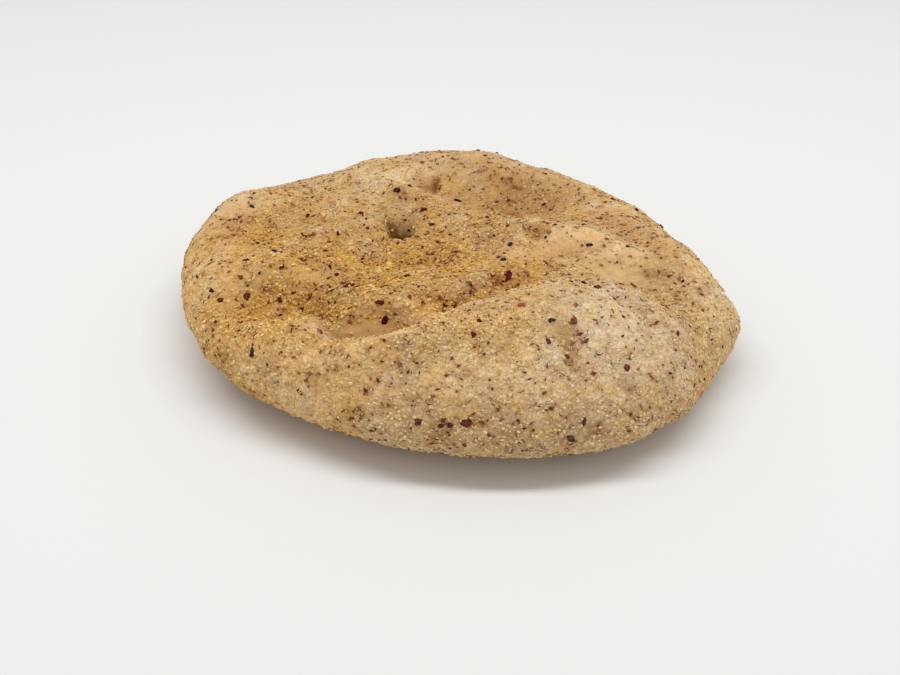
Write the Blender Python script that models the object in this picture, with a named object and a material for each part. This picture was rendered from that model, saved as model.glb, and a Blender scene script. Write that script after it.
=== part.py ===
"""A small flat round bread with finger dimples, dusted with coarse meal and dark husk.

Blender 4.5, metres, +Z up. The bread lies on its flat base at z = 0, longest along X, with its
thick rolled edge towards -Y. The crust is one closed skin, and the husk flakes that are large
enough to feel are fused to it.
"""

import math
import random

import bmesh
import bpy
import numpy as np
from mathutils import Matrix, Vector, noise

NAME = "focaccia"
FULL_TURN = 2 * math.pi

# Plan of the loaf: its radius every 15 degrees, anticlockwise from +X.
OUTLINE_RADII = (
    0.0549, 0.0536, 0.0526, 0.0506, 0.0480, 0.0484, 0.0500, 0.0508,
    0.0531, 0.0566, 0.0594, 0.0586, 0.0555, 0.0533, 0.0520, 0.0500,
    0.0487, 0.0486, 0.0498, 0.0520, 0.0554, 0.0570, 0.0564, 0.0557,
)
TIP_BEARING = -13.0  # degrees: the pointed fold at the right-hand end
TIP_HALF_WIDTH = 11.0  # degrees
TIP_REACH = 0.0026

# Side profile: the flat foot, the girth where the loaf is widest, and the crown.
FOOT_SHARE = 0.60  # of the radius
GIRTH_HEIGHT = 0.0090
GIRTH_TILT = 0.0015  # the girth rides higher on one side
GIRTH_HIGH_BEARING = 185.0  # degrees
CROWN_HEIGHT = 0.0215
CROWN_FLATNESS = 5.0  # larger keeps the top flat further out
CROWN_SHOULDER = 1.7  # 2 is a round shoulder, 1 a straight slope

# Raised forms: x, y, half length, half width, turn in degrees, height.
SWELLS = {
    "rear hump": (0.004, 0.033, 0.024, 0.011, 0, 0.0036),
    "rear left shoulder": (-0.045, 0.015, 0.010, 0.008, 35, 0.0027),
    "left rim": (-0.048, -0.003, 0.007, 0.018, 0, 0.0018),
    "left cross ridge": (-0.0300, -0.0100, 0.0130, 0.0036, 6, 0.0030),
    "ridge between pits": (-0.0125, 0.0190, 0.0110, 0.0032, -38, 0.0026),
    "front lip": (-0.0090, -0.0372, 0.0150, 0.0034, 8, 0.0030),
    "front left roll": (-0.0280, -0.0350, 0.0130, 0.0060, -16, 0.0020),
    "front right roll": (0.0130, -0.0290, 0.0180, 0.0070, 20, 0.0040),
    "right front mass": (0.0270, -0.0320, 0.0160, 0.0095, 0, 0.0022),
    "right ridge": (0.0240, -0.0018, 0.0170, 0.0042, -25, 0.0028),
    "ridge to the rim": (0.0350, -0.0230, 0.0110, 0.0028, -38, 0.0012),
    "right rim": (0.0460, -0.0080, 0.0090, 0.0170, 15, 0.0017),
}
# Pushed-in forms: x, y, half length, half width, turn in degrees, depth, steepness of the sides.
DENTS = {
    "finger pit": (-0.0112, 0.0061, 0.0018, 0.0028, 0, 0.0110, 1.9),
    "finger pit right wall": (-0.0093, 0.0068, 0.0017, 0.0030, 0, 0.0034, 1.3),
    "finger pit back slope": (-0.0102, 0.0098, 0.0028, 0.0040, 0, 0.0036, 1.2),
    "finger pit crease": (-0.0108, 0.0098, 0.0006, 0.0034, -4, 0.0016, 1.0),
    "rear pit": (-0.0054, 0.0218, 0.0028, 0.0020, -32, 0.0028, 1.4),
    "rear pit hole": (-0.0034, 0.0226, 0.0009, 0.0012, -30, 0.0018, 1.3),
    "front dimple": (-0.0146, -0.0284, 0.0088, 0.0046, 8, 0.0056, 1.9),
    "front dimple pocket": (-0.0150, -0.0316, 0.0072, 0.0020, 6, 0.0038, 1.7),
    "dimple left crease": (-0.0228, -0.0236, 0.0052, 0.0018, -52, 0.0018, 1.2),
    "small pit": (0.0174, -0.0006, 0.0022, 0.0015, 0, 0.0018, 1.4),
    "burst": (0.0196, -0.0350, 0.0034, 0.0020, -20, 0.0016, 1.3),
    "burst crack": (0.0206, -0.0385, 0.0010, 0.0036, 8, 0.0012, 1.0),
    "cross valley": (0.0060, -0.0180, 0.0160, 0.0040, 31, 0.0046, 1.3),
    "peel step": (0.0300, -0.0262, 0.0070, 0.0011, -34, 0.0008, 1.0),
    "rear hollow": (0.0130, 0.0165, 0.0140, 0.0075, -12, 0.0042, 1.3),
    "left hollow": (-0.0310, -0.0202, 0.0120, 0.0046, -10, 0.0048, 1.3),
    "middle basin": (-0.0120, -0.0060, 0.0250, 0.0120, 6, 0.0034, 1.2),
    "upper left hollow": (-0.0370, 0.0040, 0.0080, 0.0050, 10, 0.0014, 1.2),
    "right hollow": (0.0400, -0.0150, 0.0060, 0.0080, 0, 0.0024, 1.2),
    "rear left fall": (-0.0340, 0.0340, 0.0120, 0.0090, 42, 0.0020, 1.0),
    "rear right fall": (0.0300, 0.0340, 0.0160, 0.0090, -48, 0.0010, 1.0),
    "right rear fall": (0.0500, 0.0100, 0.0080, 0.0100, 10, 0.0008, 1.0),
}
RELIEF_RISE = 1.35  # how soon the relief reaches full depth, in from the girth

LUMP_SIZE = 0.0085  # across one soft lump of the dough
LUMP_RISE = 0.00080
CRAG_SIZE = 0.0042  # across one small crag of the crust
CRAG_RISE = 0.00036
CRAG_SHIFT = Vector((7, 3, 5))  # keeps the crags from repeating the lumps

CRUST_COLOUR = (0.58, 0.36, 0.15, 1.0)
CRUST_ROUGHNESS = 0.85

CELLS_ACROSS = 104  # of the crust's fine grid
CRUST_TRIANGLES = 7900
PROFILE_STEPS = 4000  # when a profile is divided evenly
WELD_DISTANCE = 1e-6

# The largest husk flakes, where they lie: x, y, length, width, turn in degrees.
LARGE_FLAKES = (
    (0.0214, -0.0330, 0.0021, 0.0014, 84),
    (0.0175, -0.0332, 0.0018, 0.0011, 12),
    (0.0170, -0.0368, 0.0016, 0.0010, -48),
    (0.0233, -0.0361, 0.0015, 0.0011, 15),
    (-0.0057, -0.0478, 0.0017, 0.0014, 30),
    (-0.0018, -0.0486, 0.0013, 0.0010, 0),
    (-0.0001, -0.0487, 0.0013, 0.0012, 60),
    (0.0023, -0.0487, 0.0026, 0.0019, 5),
    (0.0204, -0.0494, 0.0018, 0.0016, 55),
    (-0.0191, -0.0158, 0.0026, 0.0022, 20),
    (-0.0122, -0.0243, 0.0022, 0.0015, 70),
    (-0.0283, 0.0027, 0.0028, 0.0012, 5),
    (-0.0352, -0.0034, 0.0021, 0.0012, -8),
    (-0.0401, -0.0078, 0.0017, 0.0015, 40),
    (-0.0391, -0.0158, 0.0020, 0.0016, 60),
    (-0.0442, -0.0166, 0.0015, 0.0013, 20),
    (-0.0116, 0.0162, 0.0019, 0.0012, -20),
    (-0.0058, 0.0108, 0.0018, 0.0016, 0),
    (-0.0044, 0.0065, 0.0022, 0.0009, 2),
    (0.0014, 0.0183, 0.0021, 0.0011, 8),
    (-0.0189, 0.0099, 0.0014, 0.0012, 80),
    (0.0103, -0.0069, 0.0017, 0.0015, 30),
    (0.0110, -0.0110, 0.0028, 0.0010, 84),
    (0.0205, -0.0114, 0.0014, 0.0012, 20),
    (0.0244, -0.0205, 0.0014, 0.0011, -60),
    (0.0267, -0.0226, 0.0019, 0.0012, -10),
    (0.0271, -0.0061, 0.0016, 0.0008, -6),
    (0.0348, -0.0161, 0.0018, 0.0011, -25),
    (0.0121, -0.0314, 0.0018, 0.0010, 24),
    (0.0039, -0.0370, 0.0013, 0.0012, 10),
    (-0.0084, -0.0127, 0.0018, 0.0016, -20),
    (-0.0130, -0.0226, 0.0021, 0.0011, -6),
    (-0.0236, -0.0297, 0.0018, 0.0014, -35),
    (-0.0355, -0.0321, 0.0024, 0.0011, 62),
    (-0.0220, -0.0125, 0.0014, 0.0013, 30),
    (0.0225, -0.0479, 0.0016, 0.0008, 80),
    (0.0302, -0.0396, 0.0014, 0.0012, 60),
)
FLAKE_COUNT = 88
FLAKE_LENGTHS = (0.0009, 0.0017)  # shortest and longest of the scattered ones
FLAKE_WIDTH_SHARES = (0.5, 0.9)  # of the length
FLAKE_LENGTH_BIAS = 2  # more than 1 makes short flakes commoner
FLAKE_SIDES = 6
FLAKE_RAGGEDNESS = (0.8, 1.15)  # how far each corner is drawn in or out
FLAKE_TOP_SHARE = 0.8  # a flake narrows upwards to this
FLAKE_THICKNESS = 0.0007
FLAKE_PROUD = 0.00035
FLAKE_GAP = 0.0010
FLAKE_EDGE_SHARE = 0.965  # no scattered flake lies further out than this share of the radius
FLAKE_SEED = 7


def smooth_ring(knots, angle):
    """Value at each angle of a smooth closed curve through evenly spaced knots."""
    knots = np.asarray(knots)
    place = (angle % FULL_TURN) / FULL_TURN * len(knots)
    first = np.floor(place).astype(int)
    t = place - first
    a, b, c, d = (knots[(first + step) % len(knots)] for step in (-1, 0, 1, 2))
    return b + 0.5 * t * (c - a + t * (2 * a - 5 * b + 4 * c - d + t * (3 * b - a - 3 * c + d)))


def outline_radius(angle):
    """Plan radius of the girth."""
    off_tip = (np.degrees(angle) - TIP_BEARING + 180) % 360 - 180
    tip = TIP_REACH * np.exp(-((off_tip / TIP_HALF_WIDTH) ** 2))
    return smooth_ring(OUTLINE_RADII, angle) + tip


def girth_height(angle):
    """Height of the widest line above the table."""
    return GIRTH_HEIGHT + GIRTH_TILT * np.cos(angle - math.radians(GIRTH_HIGH_BEARING))


def oval_distance(x, y, centre_x, centre_y, half_length, half_width, turn):
    """Squared distance from an oval's centre, 1 on the oval."""
    cos_turn = math.cos(math.radians(turn))
    sin_turn = math.sin(math.radians(turn))
    along = ((x - centre_x) * cos_turn + (y - centre_y) * sin_turn) / half_length
    across = ((y - centre_y) * cos_turn - (x - centre_x) * sin_turn) / half_width
    return along**2 + across**2


def relief(x, y):
    """Height that the swells add and the dents take away."""
    rise = np.zeros_like(x)
    for *oval, height in SWELLS.values():
        rise = rise + height * np.exp(-oval_distance(x, y, *oval))
    for *oval, depth, steepness in DENTS.values():
        rise = rise - depth * np.exp(-(oval_distance(x, y, *oval) ** steepness))
    return rise


def crown_share(share):
    """How much of the crown's height stands at a share of the radius."""
    flat = 1 - np.clip(share, 0, 1) ** CROWN_FLATNESS
    return np.maximum(flat, 0) ** (1 / CROWN_SHOULDER)


def top_height(share, angle):
    """Height of the upper crust at a share of the radius."""
    radius = share * outline_radius(angle)
    girth = girth_height(angle)
    full = crown_share(share)
    shaped = relief(radius * np.cos(angle), radius * np.sin(angle))
    return girth + (CROWN_HEIGHT - girth) * full + shaped * np.clip(full * RELIEF_RISE, 0, 1)


def under_height(share, angle):
    """Height of the underside: flat foot, then a quarter-round up to the girth."""
    outward = np.clip((share - FOOT_SHARE) / (1 - FOOT_SHARE), 0, 1)
    return girth_height(angle) * (1 - np.sqrt(1 - outward**2))


def even_shares(count, height):
    """Shares of the radius that divide a typical profile into equal lengths."""
    share = 1 - np.linspace(1, 0, PROFILE_STEPS + 1) ** 3
    radius = np.mean(OUTLINE_RADII)
    steps = np.hypot(np.diff(share) * radius, np.diff(height(share, np.zeros_like(share))))
    length = np.concatenate(([0.0], np.cumsum(steps)))
    return np.interp(np.linspace(0, length[-1], count + 1), length, share)


def disc_grid(count):
    """Ring number and angle of each point of a square grid drawn out to a disc."""
    line = np.arange(-count, count + 1)
    column, row = np.meshgrid(line, line, indexing="ij")
    ring = np.maximum(abs(column), abs(row))
    safe = np.maximum(ring, 1)
    quarter = math.pi / 4
    right = quarter * row / safe
    left = math.pi - quarter * row / safe
    up = math.pi / 2 - quarter * column / safe
    down = -math.pi / 2 + quarter * column / safe
    angle = np.where(row == ring, up, down)
    angle = np.where(column == -ring, left, angle)
    angle = np.where(column == ring, right, angle)
    return ring, angle


def sheet_points(count, height):
    """One side of the loaf, as a grid of points."""
    ring, angle = disc_grid(count)
    share = even_shares(count, height)[ring]
    radius = share * outline_radius(angle)
    return np.stack((radius * np.cos(angle), radius * np.sin(angle), height(share, angle)), axis=-1)


def add_sheet(mesh, points, upward):
    """Adds a grid of quads to the mesh."""
    rows, columns = points.shape[:2]
    verts = [[mesh.verts.new(point) for point in row] for row in points]
    for i in range(rows - 1):
        for j in range(columns - 1):
            quad = [verts[i][j], verts[i + 1][j], verts[i + 1][j + 1], verts[i][j + 1]]
            mesh.faces.new(quad if upward else quad[::-1])


def roughen(mesh):
    """Pushes the skin in and out by the dough's lumps, leaving the foot flat."""
    mesh.normal_update()
    moves = []
    for vert in mesh.verts:
        lump = LUMP_RISE * noise.noise(vert.co / LUMP_SIZE)
        crag = CRAG_RISE * noise.noise(vert.co / CRAG_SIZE + CRAG_SHIFT)
        clear = min(vert.co.z / GIRTH_HEIGHT, 1)
        moves.append(vert.normal * (lump + crag) * clear)
    for vert, move in zip(mesh.verts, moves):
        vert.co += move


def crust_mesh(name, cells):
    """The whole skin of the loaf, closed along the girth."""
    mesh = bmesh.new()
    half = cells // 2
    add_sheet(mesh, sheet_points(half, top_height), upward=True)
    add_sheet(mesh, sheet_points(half, under_height), upward=False)
    bmesh.ops.remove_doubles(mesh, verts=mesh.verts, dist=WELD_DISTANCE)
    roughen(mesh)
    data = bpy.data.meshes.new(name)
    mesh.to_mesh(data)
    mesh.free()
    return data


def crust_axes(loaf, x, y, turn):
    """Axes of a thing that lies on the crust: along its turn in the plan, across, and up."""
    angle = np.arctan2(y, x)
    height = float(top_height(np.hypot(x, y) / outline_radius(angle), angle))
    _, place, up, _ = loaf.closest_point_on_mesh(Vector((x, y, height)))
    ahead = Vector((math.cos(math.radians(turn)), math.sin(math.radians(turn)), 0))
    across = up.cross(ahead).normalized()
    axes = Matrix((across.cross(up), across, up)).transposed()
    return Matrix.Translation(place) @ axes.to_4x4()


def all_flakes(rng):
    """The large flakes, then scattered smaller ones, kept apart: x, y, length, width, turn."""
    flakes = list(LARGE_FLAKES)
    shortest, longest = FLAKE_LENGTHS
    while len(flakes) < FLAKE_COUNT:
        angle = rng.uniform(0, FULL_TURN)
        radius = FLAKE_EDGE_SHARE * math.sqrt(rng.random()) * float(outline_radius(np.array(angle)))
        x = radius * math.cos(angle)
        y = radius * math.sin(angle)
        length = shortest + (longest - shortest) * rng.random() ** FLAKE_LENGTH_BIAS
        flake = (x, y, length, length * rng.uniform(*FLAKE_WIDTH_SHARES), rng.uniform(0, 360))
        clear = all(
            math.hypot(x - other[0], y - other[1]) > (length + other[2]) / 2 + FLAKE_GAP
            for other in flakes
        )
        if clear:
            flakes.append(flake)
    return flakes


def flake_mesh(length, width, rng):
    """An irregular thin plate, lying flat, its middle at the origin."""
    mesh = bmesh.new()
    ragged = [rng.uniform(*FLAKE_RAGGEDNESS) for _ in range(FLAKE_SIDES)]
    rims = []
    for height, size in ((FLAKE_PROUD - FLAKE_THICKNESS, 1), (FLAKE_PROUD, FLAKE_TOP_SHARE)):
        rim = []
        for side, reach in enumerate(ragged):
            angle = FULL_TURN * side / FLAKE_SIDES
            x = size * reach * length / 2 * math.cos(angle)
            y = size * reach * width / 2 * math.sin(angle)
            rim.append(mesh.verts.new((x, y, height)))
        rims.append(rim)
    lower, upper = rims
    for side in range(FLAKE_SIDES):
        after = (side + 1) % FLAKE_SIDES
        mesh.faces.new((lower[side], lower[after], upper[after], upper[side]))
    mesh.faces.new(lower[::-1])
    mesh.faces.new(upper)
    return mesh


def flake_object(loaf, flake, rng, collection):
    """One husk flake, half sunk in the crust."""
    x, y, length, width, turn = flake
    mesh = flake_mesh(length, width, rng)
    mesh.transform(crust_axes(loaf, x, y, turn))
    data = bpy.data.meshes.new("flake")
    mesh.to_mesh(data)
    mesh.free()
    piece = bpy.data.objects.new("flake", data)
    collection.objects.link(piece)
    return piece


def settle(piece):
    """Replaces the object's mesh by what its modifiers make of it."""
    depsgraph = bpy.context.evaluated_depsgraph_get()
    settled = bpy.data.meshes.new_from_object(piece.evaluated_get(depsgraph))
    piece.modifiers.clear()
    piece.data = settled


def thin_out(piece):
    """Brings the fine grid down to as few triangles as hold the form."""
    triangles = sum(len(face.vertices) - 2 for face in piece.data.polygons)
    decimate = piece.modifiers.new("thin out", "DECIMATE")
    decimate.ratio = CRUST_TRIANGLES / triangles
    settle(piece)


def fuse_flakes(piece):
    """Joins the husk flakes to the crust as one skin."""
    rng = random.Random(FLAKE_SEED)
    collection = bpy.data.collections.new("husk flakes")
    bpy.context.scene.collection.children.link(collection)
    flakes = [flake_object(piece, flake, rng, collection) for flake in all_flakes(rng)]
    union = piece.modifiers.new("fuse flakes", "BOOLEAN")
    union.operation = "UNION"
    union.operand_type = "COLLECTION"
    union.collection = collection
    union.solver = "EXACT"
    settle(piece)
    for flake in flakes:
        bpy.data.objects.remove(flake)
    bpy.data.collections.remove(collection)


def crust_material():
    """Baked crust under a dusting of coarse meal: matt, warm tan."""
    material = bpy.data.materials.new("crust")
    material.use_nodes = True
    shader = material.node_tree.nodes["Principled BSDF"]
    shader.inputs["Base Color"].default_value = CRUST_COLOUR
    shader.inputs["Roughness"].default_value = CRUST_ROUGHNESS
    shader.inputs["Metallic"].default_value = 0.0
    return material


def make_loaf():
    """The loaf as one object, standing on its foot."""
    loaf = bpy.data.objects.new(NAME, crust_mesh(NAME, CELLS_ACROSS))
    bpy.context.scene.collection.objects.link(loaf)
    thin_out(loaf)
    fuse_flakes(loaf)
    loaf.data.materials.clear()
    loaf.data.materials.append(crust_material())
    loaf.data.shade_smooth()
    return loaf


def main():
    for old in list(bpy.data.objects):
        bpy.data.objects.remove(old)
    make_loaf()


if __name__ == "__main__":
    main()
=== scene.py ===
"""Looks of a small focaccia: its crust, meal, bran, husk and flour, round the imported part.

Blender 4.5 runs this as a script. It is laid out as an add-on, so each group of pieces is one
operator that the sidebar lists. Lengths are metres, +Z up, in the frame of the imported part. Only
the tables that say so are in millimetres, and MM turns those into metres.
"""

import math
import random
from typing import NamedTuple

import bpy
import numpy as np
from bpy.props import FloatProperty, FloatVectorProperty, IntProperty, PointerProperty
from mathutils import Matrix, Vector, noise
from mathutils.bvhtree import BVHTree
from mathutils.kdtree import KDTree


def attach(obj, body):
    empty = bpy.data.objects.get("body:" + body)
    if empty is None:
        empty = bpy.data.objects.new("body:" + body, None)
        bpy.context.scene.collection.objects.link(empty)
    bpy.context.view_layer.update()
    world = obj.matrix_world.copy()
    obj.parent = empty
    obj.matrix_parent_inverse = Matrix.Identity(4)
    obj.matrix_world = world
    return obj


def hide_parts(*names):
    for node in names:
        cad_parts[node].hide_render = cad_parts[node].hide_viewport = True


bl_info = {
    "name": "Mini focaccia",
    "version": (1, 0, 0),
    "blender": (4, 5, 0),
    "location": "3D View > Sidebar > Focaccia",
    "description": "Dresses the packed bread in its crust, meal, bran, husk and flour",
    "category": "Object",
}

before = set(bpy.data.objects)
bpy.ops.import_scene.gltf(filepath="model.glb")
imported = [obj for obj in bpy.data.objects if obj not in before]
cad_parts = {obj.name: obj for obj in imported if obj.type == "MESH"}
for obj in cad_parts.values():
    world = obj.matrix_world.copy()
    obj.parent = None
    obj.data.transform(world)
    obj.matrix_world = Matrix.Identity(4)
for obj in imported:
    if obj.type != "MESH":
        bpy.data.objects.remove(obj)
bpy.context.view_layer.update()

BODY = "root"
NODE = "focaccia"
CRUST = "crust"
FULL_TURN = 2 * math.pi
MM = 0.001

# ------------------------------------------------------------------ form, as in the part's source

# Plan of the loaf: its radius every 15 degrees, anticlockwise from +X, in millimetres.
OUTLINE_RADII = (
    54.9, 53.6, 52.6, 50.6, 48, 48.4, 50, 50.8, 53.1, 56.6, 59.4, 58.6,
    55.5, 53.3, 52, 50, 48.7, 48.6, 49.8, 52, 55.4, 57, 56.4, 55.7,
)
TIP_BEARING = -13.0  # degrees: the pointed fold at the right-hand end
TIP_HALF_WIDTH = 11.0  # degrees
TIP_REACH = 0.0026

FOOT_SHARE = 0.60  # of the radius
GIRTH_HEIGHT = 0.0090
GIRTH_TILT = 0.0015
GIRTH_HIGH_BEARING = 185.0  # degrees
CROWN_HEIGHT = 0.0215
CROWN_FLATNESS = 5.0
CROWN_SHOULDER = 1.7
RELIEF_RISE = 1.35
PROFILE_STEPS = 4000  # when a profile is divided evenly

# Raised forms, in millimetres: x, y, half length, half width, turn in degrees, height.
SWELLS = {
    "rear hump": (4, 33, 24, 11, 0, 3.6),
    "rear left shoulder": (-45, 15, 10, 8, 35, 2.7),
    "left rim": (-48, -3, 7, 18, 0, 1.8),
    "left cross ridge": (-30, -10, 13, 3.6, 6, 3),
    "ridge between pits": (-12.5, 19, 11, 3.2, -38, 2.6),
    "front lip": (-9, -37.2, 15, 3.4, 8, 3),
    "front left roll": (-28, -35, 13, 6, -16, 2),
    "front right roll": (13, -29, 18, 7, 20, 4),
    "right front mass": (27, -32, 16, 9.5, 0, 2.2),
    "right ridge": (24, -1.8, 17, 4.2, -25, 2.8),
    "ridge to the rim": (35, -23, 11, 2.8, -38, 1.2),
    "right rim": (46, -8, 9, 17, 15, 1.7),
}
# Pushed-in forms, in millimetres: x, y, half length, half width, turn in degrees, depth, steepness
# of the sides.
DENTS = {
    "finger pit": (-11.2, 6.1, 1.8, 2.8, 0, 11, 1.9),
    "finger pit right wall": (-9.3, 6.8, 1.7, 3, 0, 3.4, 1.3),
    "finger pit back slope": (-10.2, 9.8, 2.8, 4, 0, 3.6, 1.2),
    "finger pit crease": (-10.8, 9.8, 0.6, 3.4, -4, 1.6, 1),
    "rear pit": (-5.4, 21.8, 2.8, 2, -32, 2.8, 1.4),
    "rear pit hole": (-3.4, 22.6, 0.9, 1.2, -30, 1.8, 1.3),
    "front dimple": (-14.6, -28.4, 8.8, 4.6, 8, 5.6, 1.9),
    "front dimple pocket": (-15, -31.6, 7.2, 2, 6, 3.8, 1.7),
    "dimple left crease": (-22.8, -23.6, 5.2, 1.8, -52, 1.8, 1.2),
    "small pit": (17.4, -0.6, 2.2, 1.5, 0, 1.8, 1.4),
    "burst": (19.6, -35, 3.4, 2, -20, 1.6, 1.3),
    "burst crack": (20.6, -38.5, 1, 3.6, 8, 1.2, 1),
    "cross valley": (6, -18, 16, 4, 31, 4.6, 1.3),
    "peel step": (30, -26.2, 7, 1.1, -34, 0.8, 1),
    "rear hollow": (13, 16.5, 14, 7.5, -12, 4.2, 1.3),
    "left hollow": (-31, -20.2, 12, 4.6, -10, 4.8, 1.3),
    "middle basin": (-12, -6, 25, 12, 6, 3.4, 1.2),
    "upper left hollow": (-37, 4, 8, 5, 10, 1.4, 1.2),
    "right hollow": (40, -15, 6, 8, 0, 2.4, 1.2),
    "rear left fall": (-34, 34, 12, 9, 42, 2, 1),
    "rear right fall": (30, 34, 16, 9, -48, 1, 1),
    "right rear fall": (50, 10, 8, 10, 10, 0.8, 1),
}

# Roughness of the skin, coarsest first: across one lump, height, shift that keeps sizes unlike.
LUMPS = (
    (0.0085, 0.00080, Vector((0, 0, 0))),
    (0.0042, 0.00036, Vector((7, 3, 5))),
    (0.0019, 0.00018, Vector((2, 9, 4))),
)
# Painted shade: the crust's colour darkens in the hollows between lumps and along the creases.
HOLLOW_DEPTH = 0.00035  # at which a hollow between lumps is at its darkest
HOLLOW_SHADE = 0.25
# Creases follow the lines where a cloudy pattern crosses zero.
CREASE_SIZE = 0.0046  # between one crease and the next
CREASE_SHIFT = Vector((4, 1, 8))
CREASE_WIDTH = 0.10  # as a share of the pattern's range
CREASE_DEPTH = 0.00014
CREASE_SHADE = 0.4
CREASE_COVER = (0.5, 1.5)  # how much shows on average, and how unevenly
# Wrinkles where the skin was drawn in, in millimetres: x, y, half length, half width, turn in
# degrees, height, the way they run in degrees, from one to the next.
WRINKLES = (
    (-24, -40, 17, 7, -22, 0.22, 62, 3.8),
    (6, -40, 12, 6, 6, 0.14, 80, 4.4),
    (33, -30, 11, 8, -20, 0.2, -38, 3.2),
)
WRINKLE_SWAY = 1.6  # how far a cloudy pattern bends them, in radians

UNDER_SHADE_HEIGHT = 0.007  # below this the crust turns browner
TOP_MAP_SHARE = 0.74  # of the export's map that the upper side takes
MAP_GAP = 0.01
CELL_REACH = 0.45  # of a cell in the map of many scraps, from its middle
BAKE_MAP = "OFBake"  # the export keeps a map of this name

# ------------------------------------------------------------------ finishes over the crust

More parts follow.
